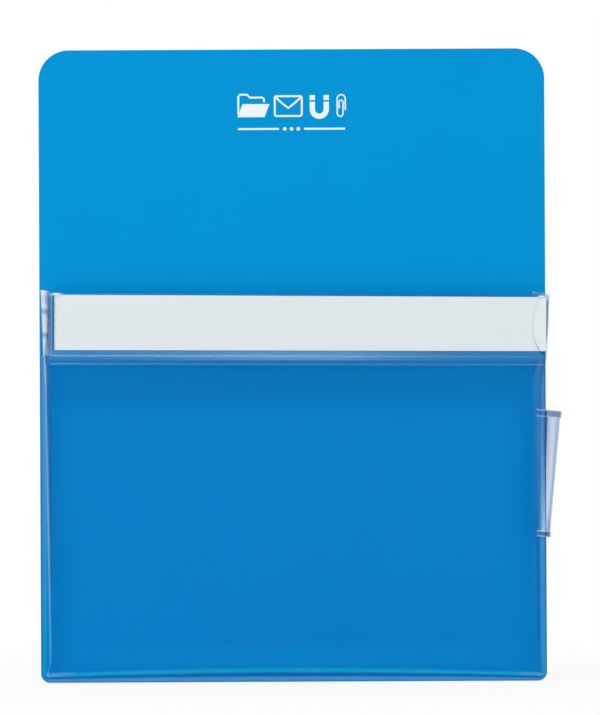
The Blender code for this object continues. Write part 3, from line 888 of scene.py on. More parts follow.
@dataclass
class FrontPanel:
    """The clear film over the pocket."""

    depth_low: float = 0.0058
    bulge_left: tuple[float, float] = (0.0030, 0.0002)
    bulge_right: tuple[float, float] = (0.0036, 0.0004)
    narrowing: tuple[float, float] = (0.0012, 0.0013)
    reach_right: float = -0.0002
    shoulder: float = 0.0030
    band_hold: float = 0.0120
    bottom_weld: float = 0.0063
    bottom_weld_at_corners: float = 0.0034
    bottom_weld_tilt: float = 0.0003
    ramp: float = 0.0115
    inset: float = 0.0002
    corner_flare: float = 0.0010
    rib_pitch: float = 0.0012
    rib_relief: float = 0.0001
    roll_height: float = 0.0001
    bead_height: float = 0.00022
    # Place of the painted highlight on the left wall's crest, its drift further up the wall lower down, and
    # the distance of the painted shade inside it.
    crest_way: float = 0.46
    crest_drift: float = 0.14
    crest_shadow: float = 0.18
    rows: int = 380
    ramp_rows: int = 30
    weld_rows: int = 28
    wall_columns: int = 30
    flange_columns: int = 10
    front_columns: int = 24

    @property
    def ramp_top_z(self) -> float:
        """Level where the film begins to slope back to the bottom weld."""
        return SIZES.bottom_z + self.bottom_weld + self.ramp

    def share_down(self, z: Array) -> Array:
        """Share of the way from the panel's upper edge to its ramp."""
        return np.clip((SIZES.panel_top_z - z) / (SIZES.panel_top_z - self.ramp_top_z), 0, 1)

    def depth_at(self, z: Array) -> Array:
        """The pocket's depth at a height: it falls as the share down to the power 1.5."""
        return SIZES.pocket_depth + (self.depth_low - SIZES.pocket_depth) * self.share_down(z) ** 1.5

    def hold_at(self, z: Array) -> Array:
        """How far the stiff band still shapes the film: the square of what is left of a short way down."""
        return np.clip(1 - (SIZES.panel_top_z - z) / self.band_hold, 0, 1) ** 2

    def bulge_at(self, z: Array, side: Side) -> Array:
        """How far the film stands out over its side weld at a height.

        Args:
            z: Heights.
            side: Left or right.

        Returns:
            The bulge, which falls as the share down to the power 1.3, and near the band is the band's own.
        """
        top, low = self.bulge_left if side is Side.LEFT else self.bulge_right
        held = top if side is Side.LEFT else SIZES.side_weld + self.reach_right
        free = top + (low - top) * self.share_down(z) ** 1.3
        return free + (held - free) * self.hold_at(z)

    def weld_at(self, z: Array, ramp: Array, side: Side) -> Array:
        """Inner edge of a side weld: it moves out as the square of the share down and as the ramp's cube."""
        widening = self.narrowing[0 if side is Side.LEFT else 1] * self.share_down(z) ** 2
        return SIZES.weld_x + widening + self.corner_flare * ramp**3

    def rib_height(self, z: Array) -> Array:
        """Fine ribs across the flanges, from 0 to 1, strongest near the bottom and in two patches above."""
        patches = hump(z, -0.128, 0.018) + 0.8 * hump(z, -0.066, 0.004) + 0.7 * hump(z, -0.036, 0.002)
        return (0.5 + 0.5 * np.sin(2 * np.pi * z / self.rib_pitch)) ** 2 * patches

    def weld_drop(self, x: Array) -> Array:
        """How far the bottom weld's upper side falls from its middle: a parabola, tilted a little."""
        share = x / SIZES.half_width
        return -(self.bottom_weld - self.bottom_weld_at_corners) * share**2 - self.bottom_weld_tilt * share

    def side_columns(self, level: Array, ramp: Array, full: Array, side: Side) -> tuple[Array, Array]:
        """Flange and wall of one side. The flange runs straight from the sheet's edge to the weld. The wall's
        x is the weld's place plus a bulge times a sine squared less a shoulder times the cube of the way,
        which down the ramp turns into the way itself. Its depth is a quarter of a sine.

        Args:
            level: Heights of the rows.
            ramp: How far each row is down the ramp.
            full: Depth of the front at each row.
            side: Left or right.

        Returns:
            Arrays of x and of depth, one column for each step of flange and wall.
        """
        way = np.linspace(0.0, 1.0, self.wall_columns)[None, :]
        weld = self.weld_at(level, ramp, side)
        rise = np.sqrt(np.clip(1 - ramp**2, 0, 1))
        end = SIZES.sleeve_left if side is Side.LEFT else SIZES.half_width
        band_end = SIZES.weld_x - abs(end) + SIZES.end_weld / 2
        shoulder = self.shoulder + (band_end - self.shoulder) * self.hold_at(level)
        inset = shoulder * (way + (way**3 - way) * rise)
        wall_x = weld + self.bulge_at(level, side) * rise * np.sin(np.pi * way) ** 2 - inset
        wall_depth = SIZES.flange + (full - SIZES.flange) * np.sin(np.pi * way / 2)
        out = np.linspace(1.0, 0.0, self.flange_columns + 1)[None, :-1]
        flange_x = weld + (SIZES.half_width - weld) * out
        x = side.value * np.concatenate([flange_x, wall_x], axis=1)
        return x, np.concatenate([SIZES.flange + 0 * flange_x, wall_depth], axis=1)

    def columns(self) -> tuple[Array, Array]:
        """Way and reach of each column of points, as PanelPlaces describes them.

        Returns:
            Two arrays of one row, with a value for each column.
        """
        wall = np.linspace(0, 1, self.wall_columns)
        half_way = np.concatenate([np.full(self.flange_columns, -1.0), wall])
        half_reach = np.concatenate([np.linspace(1, 0, self.flange_columns + 1)[:-1], 0 * wall])
        way = np.concatenate([half_way, np.full(self.front_columns, 2.0), half_way[::-1]])
        reach = np.concatenate([half_reach, np.zeros(self.front_columns), half_reach[::-1]])
        return way[None, :], reach[None, :]

    def wall_look(self, at: PanelPlaces) -> Look:
        """The walls: a painted highlight along the crest on the left, which bends out at the corner, with a
        line of painted shade inside it, and on the right a line of painted shade with a faint painted
        highlight.

        Args:
            at: Places of the film's points.

        Returns:
            The look of each point.
        """
        left, right = (at.x < 0) * 1.0, (at.x > 0) * 1.0
        down = self.share_down(at.z)
        upper = 1 - down
        outwards = 0.5 * climb(at.ramp, 0.5, 0.48)
        crest_way = self.crest_way + self.crest_drift * down - outwards
        # The crest's painted highlight: a white milk share and extra mirror.
        crest = left * hump(at.way, crest_way, 0.10) * fade(at.ramp, 0.96, 0.04)
        milk = 0.24 - 0.08 * upper + 0.60 * hump(at.z, 0.0005, 0.010) + 0.9 * outwards
        above = fade(at.ramp, 0.6, 0.4)
        # A faint painted highlight on the right wall, and painted shade in the dark lines and on the
        # shoulder.
        gleam = right * hump(at.way, 0.78, 0.07) * (0.014 + 0.045 * upper) * above
        inside = left * hump(at.way, crest_way + self.crest_shadow, 0.055) * (0.10 + 0.24 * upper)
        line = 0.16 * right * hump(at.way, 0.50, 0.12) * (1 + upper)
        shoulder = 0.06 * ((at.way > 0.72) & (at.way < 1.5))
        # Painted glow: the crest low down and the right wall's line take the sheet's blue.
        painted_glow = (0.9 - outwards) * down * (crest > 0.02)
        painted_glow = painted_glow + 0.6 * right * ((at.way > 0.6) & (at.way < 0.95))
        shine = crest * (0.062 + 0.080 * upper + 0.16 * outwards)
        return Look(crest * milk + gleam, (inside + line + shoulder) * above, painted_glow, shine)

    def flange_look(self, at: PanelPlaces) -> Look:
        """The flanges: milky and ribbed towards the sheet's edge, with a rim of painted shade and, low down,
        a faint line of painted shade. Their milk takes the painted glow's blue, and high up they carry a
        trace of painted highlight.

        Args:
            at: Places of the film's points.

        Returns:
            The look of each point.
        """
        down = self.share_down(at.z)
        upper = 1 - down
        strip = (0.10 - 0.02 * upper) * climb(at.reach, 0.18, 0.28)
        ribs = 0.05 * self.rib_height(at.z)
        # Painted shade: the rim at the sheet's edge and the faint line low down.
        rim = 0.45 * hump(at.reach, 1.0, 0.16)
        line = 0.16 * hump(at.reach, 0.28, 0.10) * down
        # Painted glow in the flange's milk, and a trace of painted highlight high up.
        painted_glow = (1 - 0.7 * upper) * np.where(at.x > 0, 0.75, 1.0)
        on = at.on_flange
        return Look(on * (0.01 + strip + ribs), on * (rim + line), on * painted_glow, 0.006 * on * upper)

    def bottom_look(self, at: PanelPlaces) -> Look:
        """The bottom weld: a painted highlight along its inner edge, in the painted glow's blue, which fades
        into the corners, and below it a line of painted shade, a milky strip and a rim of painted shade.

        Args:
            at: Places of the film's points.

        Returns:
            The look of each point.
        """
        off = 1 - at.on_flange
        corner = climb(np.abs(at.x), 0.1115, 0.004)
        # The bright line is a painted highlight; the dark line and the rim below it are painted shade.
        line = climb(at.ramp, 0.94, 0.03) * fade(at.weld, 0.22, 0.12)
        line = line * np.where(at.way < 0, 0.8 * hump(at.reach, 0.0, 0.22), 1.0)
        strip = 0.05 * climb(at.weld, 0.55, 0.12) * off
        below = (0.32 + 0.16 * hump(at.x, 0.0, 0.06)) * hump(at.weld, 0.42, 0.15) * off
        rim = 0.30 * hump(at.weld, 1.0, 0.08)
        painted_glow = (1 - 0.6 * corner) * np.maximum(line, climb(at.ramp, 0.0, 0.2) * (at.weld < 0.3)) * off
        shine = 0.018 * line * (1 - hump(at.x, 0.0, 0.09))
        return Look(0.46 * line * (1 - 0.5 * corner) + strip, below + rim, painted_glow, shine)

    def front_look(self, at: PanelPlaces) -> Look:
        """The front: a glow that rises to the bottom weld, widest in the middle, and a shaded strip under the
        band.

        Args:
            at: Places of the film's points.

        Returns:
            The look of each point.
        """
        halo = 0.030 * hump(at.ramp, 0.8, 0.20) * hump(at.x, 0.0, 0.08)
        glow = 0.040 * climb(at.ramp, 0.0, 0.25) * (at.way > 1) * hump(at.x, 0.0, 0.09)
        shaded = 0.10 * climb(-at.z, 0.001, 0.011) * fade(-at.z, 0.010, 0.016)
        shaded = shaded * fade(np.abs(at.x), 0.106, 0.010) * (at.way > 0.9)
        return Look((halo + glow) * (at.weld <= 0), shaded)

    def relief(self, x: Array, z: Array, weld: Array, welded: Array) -> Array:
        """Depth of the film's own relief: shallow waves on the front, ribs across the flanges and beads along
        the bottom weld's inner edge.

        Args:
            x: Places of the points.
            z: Heights of the points.
            weld: How far each row is down the bottom weld.
            welded: Where the film is welded down.

        Returns:
            Depths to add.
        """
        inner = ease((SIZES.weld_x - 0.004 - np.abs(x)) / 0.004)
        roll = waves(x, z, ((9.0, 5.0, 0.10, 0.4), (4.0, 17.0, 0.62, 0.35), (21.0, 11.0, 0.33, 0.25)))
        on_side = (welded > 0.5) * (np.abs(x) > SIZES.weld_x - 0.001)
        bead = hump(weld, 0.09, 0.06) - 0.5 * hump(weld, 0.36, 0.12)
        flat = self.roll_height * roll * inner * (1 - welded) + self.rib_relief * self.rib_height(z) * on_side
        return flat + self.bead_height * bead * (weld > 0)

    def build(self, finish: Material, sheet: BackSheet) -> None:
        """The film: each row runs along the sheet's edge, in to the side weld, up the wall and over the
        front. Rows lean with the mouth at the top, bend with the bottom weld below the ramp and end on the
        sheet's edge.

        Args:
            finish: Material of the film.
            sheet: The sheet that carries it.
        """
        low_rows = self.ramp_rows + self.weld_rows
        fall = np.concatenate([np.linspace(0, 1, self.rows), np.ones(low_rows)])[:, None]
        turn = np.sin(np.linspace(0, np.pi / 2, self.ramp_rows + 1))[1:]
        ramp = np.concatenate([np.zeros(self.rows), turn, np.ones(self.weld_rows)])[:, None]
        weld = np.linspace(0, 1, self.weld_rows + 1)[1:]
        weld = np.concatenate([np.zeros(self.rows + self.ramp_rows), weld])[:, None]
        level = SIZES.panel_top_z + (self.ramp_top_z - SIZES.panel_top_z) * fall - self.ramp * ramp
        rise = np.sqrt(np.clip(1 - ramp**2, 0, 1))
        full = SIZES.flange + (self.depth_at(level) + SIZES.film - SIZES.flange) * rise
        left_x, left_depth = self.side_columns(level, ramp, full, Side.LEFT)
        right_x, right_depth = self.side_columns(level, ramp, full, Side.RIGHT)
        share = np.linspace(0, 1, self.front_columns + 2)[None, 1:-1]
        front_x = left_x[:, -1:] + (right_x[:, -1:] - left_x[:, -1:]) * share
        x = np.concatenate([left_x, front_x, right_x[:, ::-1]], axis=1)
        depth = np.concatenate([left_depth, full + 0 * front_x, right_depth[:, ::-1]], axis=1)
        z = level - math.tan(SIZES.slope) * x * (1 - fall) + self.weld_drop(x) * ramp
        z = z + (SIZES.bottom_z + self.inset - z) * weld
        at = PanelPlaces(x, z, ramp, weld, *self.columns())
        welded = np.maximum(at.on_flange, (weld > 0.1) * 1.0)
        depth = depth + self.relief(x, z, weld, welded)
        # The flanges end on the sheet's edge, round its lower corners too.
        edge = sheet.half_width_at(z) - self.inset
        foot = np.where(x < 0, self.weld_at(level, ramp, Side.LEFT), self.weld_at(level, ramp, Side.RIGHT))
        out = (np.abs(x) - foot) / (SIZES.half_width - foot)
        look = self.wall_look(at) + self.flange_look(at) + self.bottom_look(at) + self.front_look(at)
        values = look.fields(welded, x)
        x = np.where(at.way < 0, np.sign(x) * (foot + (edge - foot) * out), x)
        thick = np.where(values["weld"] > 0.5, SIZES.welded_film, SIZES.film)
        piece = add_piece(film_mesh("front_panel_film", SIZES.place(x, depth, z), thick, values), finish)
        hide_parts("front_panel")


# Card sleeve


@dataclass
class WallGrid:
    """Points of a side wall of the card sleeve, from the outer edge of its weld on the sheet to the
    leaves."""

    side: Side
    foot_inset: float
    weld_columns: int
    rows: int = 110
    columns: int = 36

    @property
    def down(self) -> Array:
        """Share of the way down, for each row."""
        return np.linspace(0, 1, self.rows)[:, None]

    @property
    def along(self) -> Array:
        """Share of the way up the wall for each column, 0 on the weld."""
        return np.concatenate([np.zeros(self.weld_columns), np.linspace(0, 1, self.columns)])[None, :]

    @property
    def across(self) -> Array:
        """Share of the way in over the weld for each column, 1 on the wall."""
        weld = np.linspace(0, 1, self.weld_columns + 1)[:-1]
        return np.concatenate([weld, np.ones(self.columns)])[None, :]

    @property
    def on_sheet(self) -> Array:
        """1 on the weld and 0 on the wall."""
        return (self.along <= 0) * 1.0

    @property
    def foot(self) -> Array:
        """Distance of the weld's inner edge from the middle at each row."""
        return SIZES.half_width - self.foot_inset + (self.foot_inset - SIZES.side_weld) * self.down

    def height(self, rise: Array) -> Array:
        """Heights: the rise above the mouth at the top, evened out to a level just above the front panel."""
        low = SIZES.band_lap - SIZES.band_height + SIZES.panel_gap
        return rise * (1 - self.down) + low * self.down

    def build(
        self, name: str, x: Array, relief: Array | float, z: Array, look: Look, finish: Material
    ) -> None:
        """The wall as a piece: its depth is a quarter of a sine from the sheet to the leaves, plus its
        relief.

        Args:
            name: Name of the piece.
            x: Places of the points.
            relief: Depths to add.
            z: Heights of the points.
            look: Look of the points.
            finish: Material of the film.
        """
        top = SIZES.pocket_depth + SIZES.film - SIZES.seat / 6
        depth = SIZES.flange + (top - SIZES.flange) * np.sin(np.pi * self.along / 2) + relief
        thick = np.where(self.on_sheet > 0, SIZES.welded_film, SIZES.film) + 0 * x
        values = look.fields(0.6 * self.on_sheet, x)
        order = slice(None, None, -self.side.value)
        values = {title: value[:, order] for title, value in values.items()}
        outer = SIZES.place_on_band(x, depth, z)[:, order]
        piece = add_piece(film_mesh(name, outer, thick[:, order], values), finish)


@dataclass
class IndexSleeve:
    """The clear sleeve folded over the mouth, with its side walls, and the card in it."""

    weld_step: float = 0.0014
    foot_depth: float = 0.0007
    bead_width: float = 0.0014
    bead_height: float = 0.00025
    leaf_sag: float = 0.00004
    upper_bead: float = 0.0044
    lower_bead: float = 0.0008
    notch_radius: float = 0.0258
    notch_depth: float = 0.0062
    notch_below: float = 0.0140
    left_foot: float = 0.0042
    left_flange_inset: tuple[float, float] = (0.0006, 0.0020)
    left_rise: float = 0.0014
    left_bulge: float = 0.0030
    left_bow: float = 0.8
    left_crumple: float = 0.00014
    pinch_rim: float = 0.00030
    pinch_depth: float = 0.00008
    right_foot: float = 0.0047
    right_weld: float = 0.0016
    right_reach: tuple[float, float] = (0.0015, 0.0003)
    right_rise: float = 0.0018
    right_crumple: float = 0.00008
    card_thickness: float = 0.0003
    card_inset: float = 0.0003
    card_radius: float = 0.0006
    card_bow: float = 0.00006
    clearance: float = 0.0003
    creases_z: tuple[float, float] = (-0.0083, -0.0196)

    def section(self) -> Array:
        """Path of the folded film's outer face: up the back leaf, round the fold, down the front leaf, and
        over a step on to the lap.

        Returns:
            Along the path, the depth, the height, the number of films, and whether it is on the front leaf.
        """
        back, front = SIZES.pocket_depth, SIZES.pocket_depth + SIZES.sleeve_depth
        lap = back + SIZES.film + SIZES.seat + 2 * SIZES.film
        slot = -(SIZES.card_bottom + self.clearance)
        foot = np.array([1.0, 0.5])
        turn = np.linspace(np.pi, 0, 15)
        rising = np.linspace(slot, -SIZES.fold, 30)[:-1]
        falling = np.linspace(-SIZES.fold, slot, 90)[1:]
        step = np.linspace(0, 1, 8)[1:]
        below = np.linspace(slot - self.weld_step, -SIZES.band_height, 56)[1:]
        parts = (
            (back + self.foot_depth * foot, slot - self.weld_step * foot, 1.0, 0.0),
            (back, rising, 1.0, 0.0),
            (back + SIZES.fold * (1 + np.cos(turn)), SIZES.fold * (np.sin(turn) - 1), 1.0, 0.0),
            (front, falling, 1.0, 1.0),
            (front + (lap - front) * ease(step), slot - self.weld_step * step, 1 + ease(step), 1.0),
            (lap, below, 2.0, 1.0),
        )
        return np.concatenate([np.stack(np.broadcast_arrays(*part)) for part in parts], axis=1)

    def notch_at(self, height: Array) -> Array:
        """How far the thumb notch cuts in at a height: a circle's chord past the open end, eased in at the
        fold and out at the lap.

        Args:
            height: Heights above the mouth.

        Returns:
            Distance from the open end at each height.
        """
        chord = np.sqrt(np.maximum(self.notch_radius**2 - (height + self.notch_below) ** 2, 0.0))
        cut = np.maximum(chord - self.notch_radius + self.notch_depth, 0)
        return cut * climb(-height, 0.0, 0.0015) * climb(height, self.upper_bead - SIZES.band_height, 0.0012)

    def leaf_look(
        self, x: Array, height: Array, front: Array, ridge: tuple[Array, ...], notch: tuple[Array, Array]
    ) -> Look:
        """The leaves: milky ridges with painted highlights, a painted highlight on the fold with painted
        shade under it, a band between card and lap lit by painted haze, glow and highlight that fade to both
        sides, a painted glint in each of the card's upper corners, and a column of painted shade left of the
        card.

        Args:
            x: Places of the points.
            height: Heights of the points.
            front: Whether a point is on the front leaf.
            ridge: Heights of the upper, the lower and the upright ridge, from 0 to 1.
            notch: Place of the leaf's right edge, and whether the notch cuts it.

        Returns:
            The look of each point.
        """
        high, low, upright = ridge
        edge, cut = notch
        from_left = x - SIZES.sleeve_left
        above_edge = height + SIZES.band_height
        to_left = fade(x, -0.10, 0.17)
        lap = climb(-height, SIZES.card_bottom, 0.0006) * front
        middle = hump(x, 0.002, 0.062)
        # The band between card and lap: painted light, as haze, glow and highlight, strongest in the middle.
        lit = lap * climb(above_edge, 0.0022, 0.0010) * (1 - 0.5 * climb(x, 0.02, 0.07))
        lit = lit * (1 - 0.5 * (1 - middle) * fade(above_edge, 0.0036, 0.0010))
        haze, gloss = 0.08 * (1 + middle), 0.012 + 0.038 * middle
        look = Look(lit * haze + 0.035 * lap, 0.0, 0.8 * lap, lit * gloss + 0.003 * lap)

        # The ridges: milky beads with painted highlights.
        ends = climb(-x, 0.085, 0.03) + climb(x, 0.103, 0.01)
        milk = high * (0.010 + 0.020 * to_left) + low * (0.050 + 0.040 * to_left) + 0.125 * upright
        look += Look(milk, shine=high * (0.003 + 0.026 * to_left) + low * (0.002 + 0.018 * ends))

        # A painted highlight on the fold, painted shade just under it, and a line of painted shade near the
        # lap's lower edge.
        painted_fold_highlight = hump(height, 0.0002, 0.0005) * (0.03 + 0.07 * to_left)
        painted_shade_under_fold = 0.12 * hump(height, -0.0003, 0.0005) * (1 - to_left)
        line = 0.10 * hump(above_edge, 0.0016, 0.0006) * front
        look += Look(painted_fold_highlight, painted_shade_under_fold + line)

        # Painted glints in the card's upper corners, and a column of painted shade left of the card.
        glint = 0.90 * hump(from_left, 0.0037, 0.0019) * hump(height, -0.0002, 0.0009)
        glint = glint + 0.70 * hump(x, SIZES.half_width - 0.0022, 0.0016) * hump(height, -0.0007, 0.0010)
        column = climb(from_left, 0.0019, 0.0004) * fade(from_left, 0.0027, 0.0004)
        column = column * (height > -SIZES.card_bottom)
        look += Look(glint + 0.03 * column + 0.03 * fade(from_left, 0.0010, 0.0004), 0.42 * column)
        # A line of painted shade along the notch's edge.
        rim = (0.10 + 0.34 * climb(-height, 0.019, 0.007)) * hump(x - edge, 0.0, 0.00035) * cut
        look.tone = np.maximum(look.tone, rim)
        return look

    def build_leaves(self, finish: Material) -> None:
        """The folded film: its section carried along the mouth. The films close in on each other at the left
        end, the front leaf ends at the notch on the right, and ridges mark the weld lines.

        Args:
            finish: Material of the film.
        """
        depth, height, films, front = self.section()[:, :, None]
        cut = (front > 0) & (height > -SIZES.band_height + self.upper_bead)
        right = SIZES.half_width - np.where(cut, self.notch_at(height), 0.0)
        near = np.sin(np.linspace(0, np.pi / 2, 30)) ** 2
        start, end = 0.03, 0.94
        between = np.linspace(start, end, 100)[1:-1]
        share = np.concatenate([start * near, between, end + (1 - end) * near])[None, :]
        x = SIZES.sleeve_left + (right - SIZES.sleeve_left) * share
        from_left = x - SIZES.sleeve_left
        middle = SIZES.pocket_depth + SIZES.fold
        pinch = 1 - 0.5 * ease(1 - from_left / 0.0022)
        leaf = height > -(SIZES.card_bottom + self.clearance)
        depth = np.where(leaf, middle + (depth - middle) * pinch, depth + 0 * x)
        above_edge = height + SIZES.band_height
        begun = ease((from_left - 0.0006) / 0.0006) * front
        high = begun * hump(above_edge, self.upper_bead, 0.00040)
        low = begun * hump(above_edge, self.lower_bead, 0.00036)
        upright = hump(x, SIZES.sleeve_left + self.bead_width, 0.00045)
        upright = upright * ease((above_edge - self.upper_bead) / 0.0006 + 0.5) * front
        depth = depth + self.bead_height * np.maximum(np.maximum(high, low), upright)
        sag = waves(x, height, ((11.0, 6.0, 0.2, 0.5), (5.0, 31.0, 0.7, 0.3), (37.0, 3.0, 0.4, 0.2)))
        depth = depth + self.leaf_sag * sag * front * leaf * ease(from_left / 0.004)
        look = self.leaf_look(x, height, front, (high, low, upright), (right, cut))
        values = look.fields(0.2 * climb(-height, SIZES.card_bottom, 0.0006) * front, x)
        outer = SIZES.place_on_band(x, depth, height)
        piece = add_piece(film_mesh("index_sleeve_leaves", outer, SIZES.film * films, values), finish)
        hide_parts("index_sleeve")

    def build_left_wall(self, finish: Material) -> None:
        """The left wall: a weld on the sheet, taller than the mouth, and a wall whose bulge grows from
        nothing at the mouth to the panel's own, as the share down to the power 1.5. Two pinched creases cross
        both.

        Args:
            finish: Material of the film.
        """
        grid = WallGrid(Side.LEFT, self.left_foot, 12)
        down, along, across = grid.down, grid.along, grid.across
        narrow, wide = self.left_flange_inset
        edge = SIZES.half_width - narrow - (wide - narrow) * down
        bulge = self.left_bulge * down**1.5
        bow = np.sin(self.left_bow * np.pi * along) ** 2
        drop = grid.foot + bulge * bow[0, -1] + SIZES.sleeve_left + SIZES.end_weld / 2
        x = -(grid.foot + (edge - grid.foot) * (1 - across) + bulge * bow - drop * along**3)
        rise = self.left_rise * np.clip(1 - 2.6 * along, 0, 1) ** 0.8 - SIZES.fold * ease(along)
        z = grid.height(rise * (1 - 0.25 * hump(across, 1.0, 0.5)))

        place = z + 0.0006 * across
        pinch = sum(hump(place, middle, 0.0017) for middle in self.creases_z)
        edges = sum(hump(place, middle + 0.0022, 0.0005) for middle in self.creases_z)
        crumple = ((0.0, 95.0, 0.05, 0.5), (160.0, 61.0, 0.4, 0.35), (-120.0, 140.0, 0.7, 0.25))
        crease = waves(x * 0.4, z, crumple)
        free = (1 - ease(1.1 * down - 0.2)) * ease(3 * (1 - along)) * (0.4 + 0.6 * ease(across))
        relief = self.left_crumple * crease + self.pinch_rim * edges - self.pinch_depth * pinch

        # The weld is milky and crinkled, with painted shade in its pinched creases and a painted highlight on
        # their rims; the wall carries painted highlights on its crest low down and at the top, and painted
        # shade as a deeper colour.
        on, off = grid.on_sheet, 1 - grid.on_sheet
        core = 0.14 + 0.86 * hump(across, 0.30, 0.44)
        weld_milk = on * (core * (1 - 0.60 * pinch) + 0.10 * edges)
        wall_milk_and_painted_highlight = 0.13 * fade(along, 0.10, 0.35) + 0.16 * hump(along, 0.45, 0.14) * climb(down, 0.55, 0.4)
        frost_and_painted_highlight = (weld_milk + off * wall_milk_and_painted_highlight) * (0.93 + 0.10 * crease) + 0.14 * hump(down, 0.0, 0.02)
        tone = off * (0.16 + 0.12 * climb(along, 0.3, 0.4)) + 0.12 * pinch * on
        look = Look(np.clip(frost_and_painted_highlight, 0, 0.95), tone)
        grid.build("index_sleeve_left_wall", x, relief * free, z, look, finish)

    def build_right_wall(self, finish: Material) -> None:
        """The right wall: a narrow weld on the sheet, and film that bows out past the sheet's edge by a sine,
        most at the mouth.

        Args:
            finish: Material of the film.
        """
        grid = WallGrid(Side.RIGHT, self.right_foot, 5)
        down, along = grid.down, grid.along
        end = SIZES.half_width - SIZES.end_weld / 2
        reach = SIZES.half_width + self.right_reach[0] + (self.right_reach[1] - self.right_reach[0]) * down
        bow = (reach - (grid.foot + end) / 2) * np.sin(np.pi * along)
        x = grid.foot + (end - grid.foot) * along + bow - self.right_weld * (1 - grid.across)
        z = grid.height(self.right_rise * (1 - along) ** 1.3 - SIZES.fold * ease(along))
        crease = waves(x * 0.5, z, ((0.0, 70.0, 0.3, 0.6), (110.0, 40.0, 0.1, 0.4)))
        x = x + self.right_crumple * crease * climb(along, 0.0, 0.2) * fade(along, 0.75, 0.25)
        # A painted highlight at the top of the wall and of its weld, and painted shade down the wall, weaker
        # at the top and low down.
        upper = hump(down, 0.0, 0.07)
        frost_and_painted_highlight = 0.34 * upper * (0.2 + 0.8 * climb(along, 0.0, 0.4))
        frost_and_painted_highlight = frost_and_painted_highlight + 0.16 * grid.on_sheet * hump(down, 0.0, 0.03)
        tone = (0.50 - 0.10 * down - 0.22 * climb(down, 0.55, 0.45)) * (1 - 0.7 * upper)
        look = Look(frost_and_painted_highlight, tone * climb(along, 0.0, 0.25))
        grid.build("index_sleeve_right_wall", x, 0.0, z, look, finish)

    def build_card(self, finish: Material) -> None:
        """The card: a thin plate in the slot with small round corners and a trace of bow.

        Args:
            finish: Material of the card.
        """
        left = SIZES.sleeve_left + SIZES.end_weld + self.clearance + self.card_inset
        top, low, radius = -SIZES.fold, -SIZES.card_bottom, self.card_radius
        turn = np.linspace(0, np.pi / 2, 6)
        inset = radius * (1 - np.cos(turn))
        between = np.linspace(top - radius, low + radius, 16)[1:-1]
        z = np.concatenate([top - inset, between, (low + inset)[::-1]])
        beyond = np.clip(np.maximum(radius - (top - z), radius - (z - low)), 0, radius)
        cut = radius - np.sqrt(radius**2 - beyond**2)
        share = np.linspace(0, 1, 60)[None, :]
        start, end = (left + cut)[:, None], (SIZES.half_width - cut)[:, None]
        x = start + (end - start) * share
        front = SIZES.pocket_depth + SIZES.film + self.clearance + self.card_thickness
        bow = self.card_bow * waves(x, z[:, None], ((8.0, 2.0, 0.1, 0.6), (3.0, 21.0, 0.5, 0.4)))
        outer = SIZES.place_on_band(x, front + bow, z[:, None] + 0 * x)
        piece = add_piece(film_mesh("label_card_paper", outer, self.card_thickness), finish, "card")
        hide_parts("label_card")


# Pen sleeve


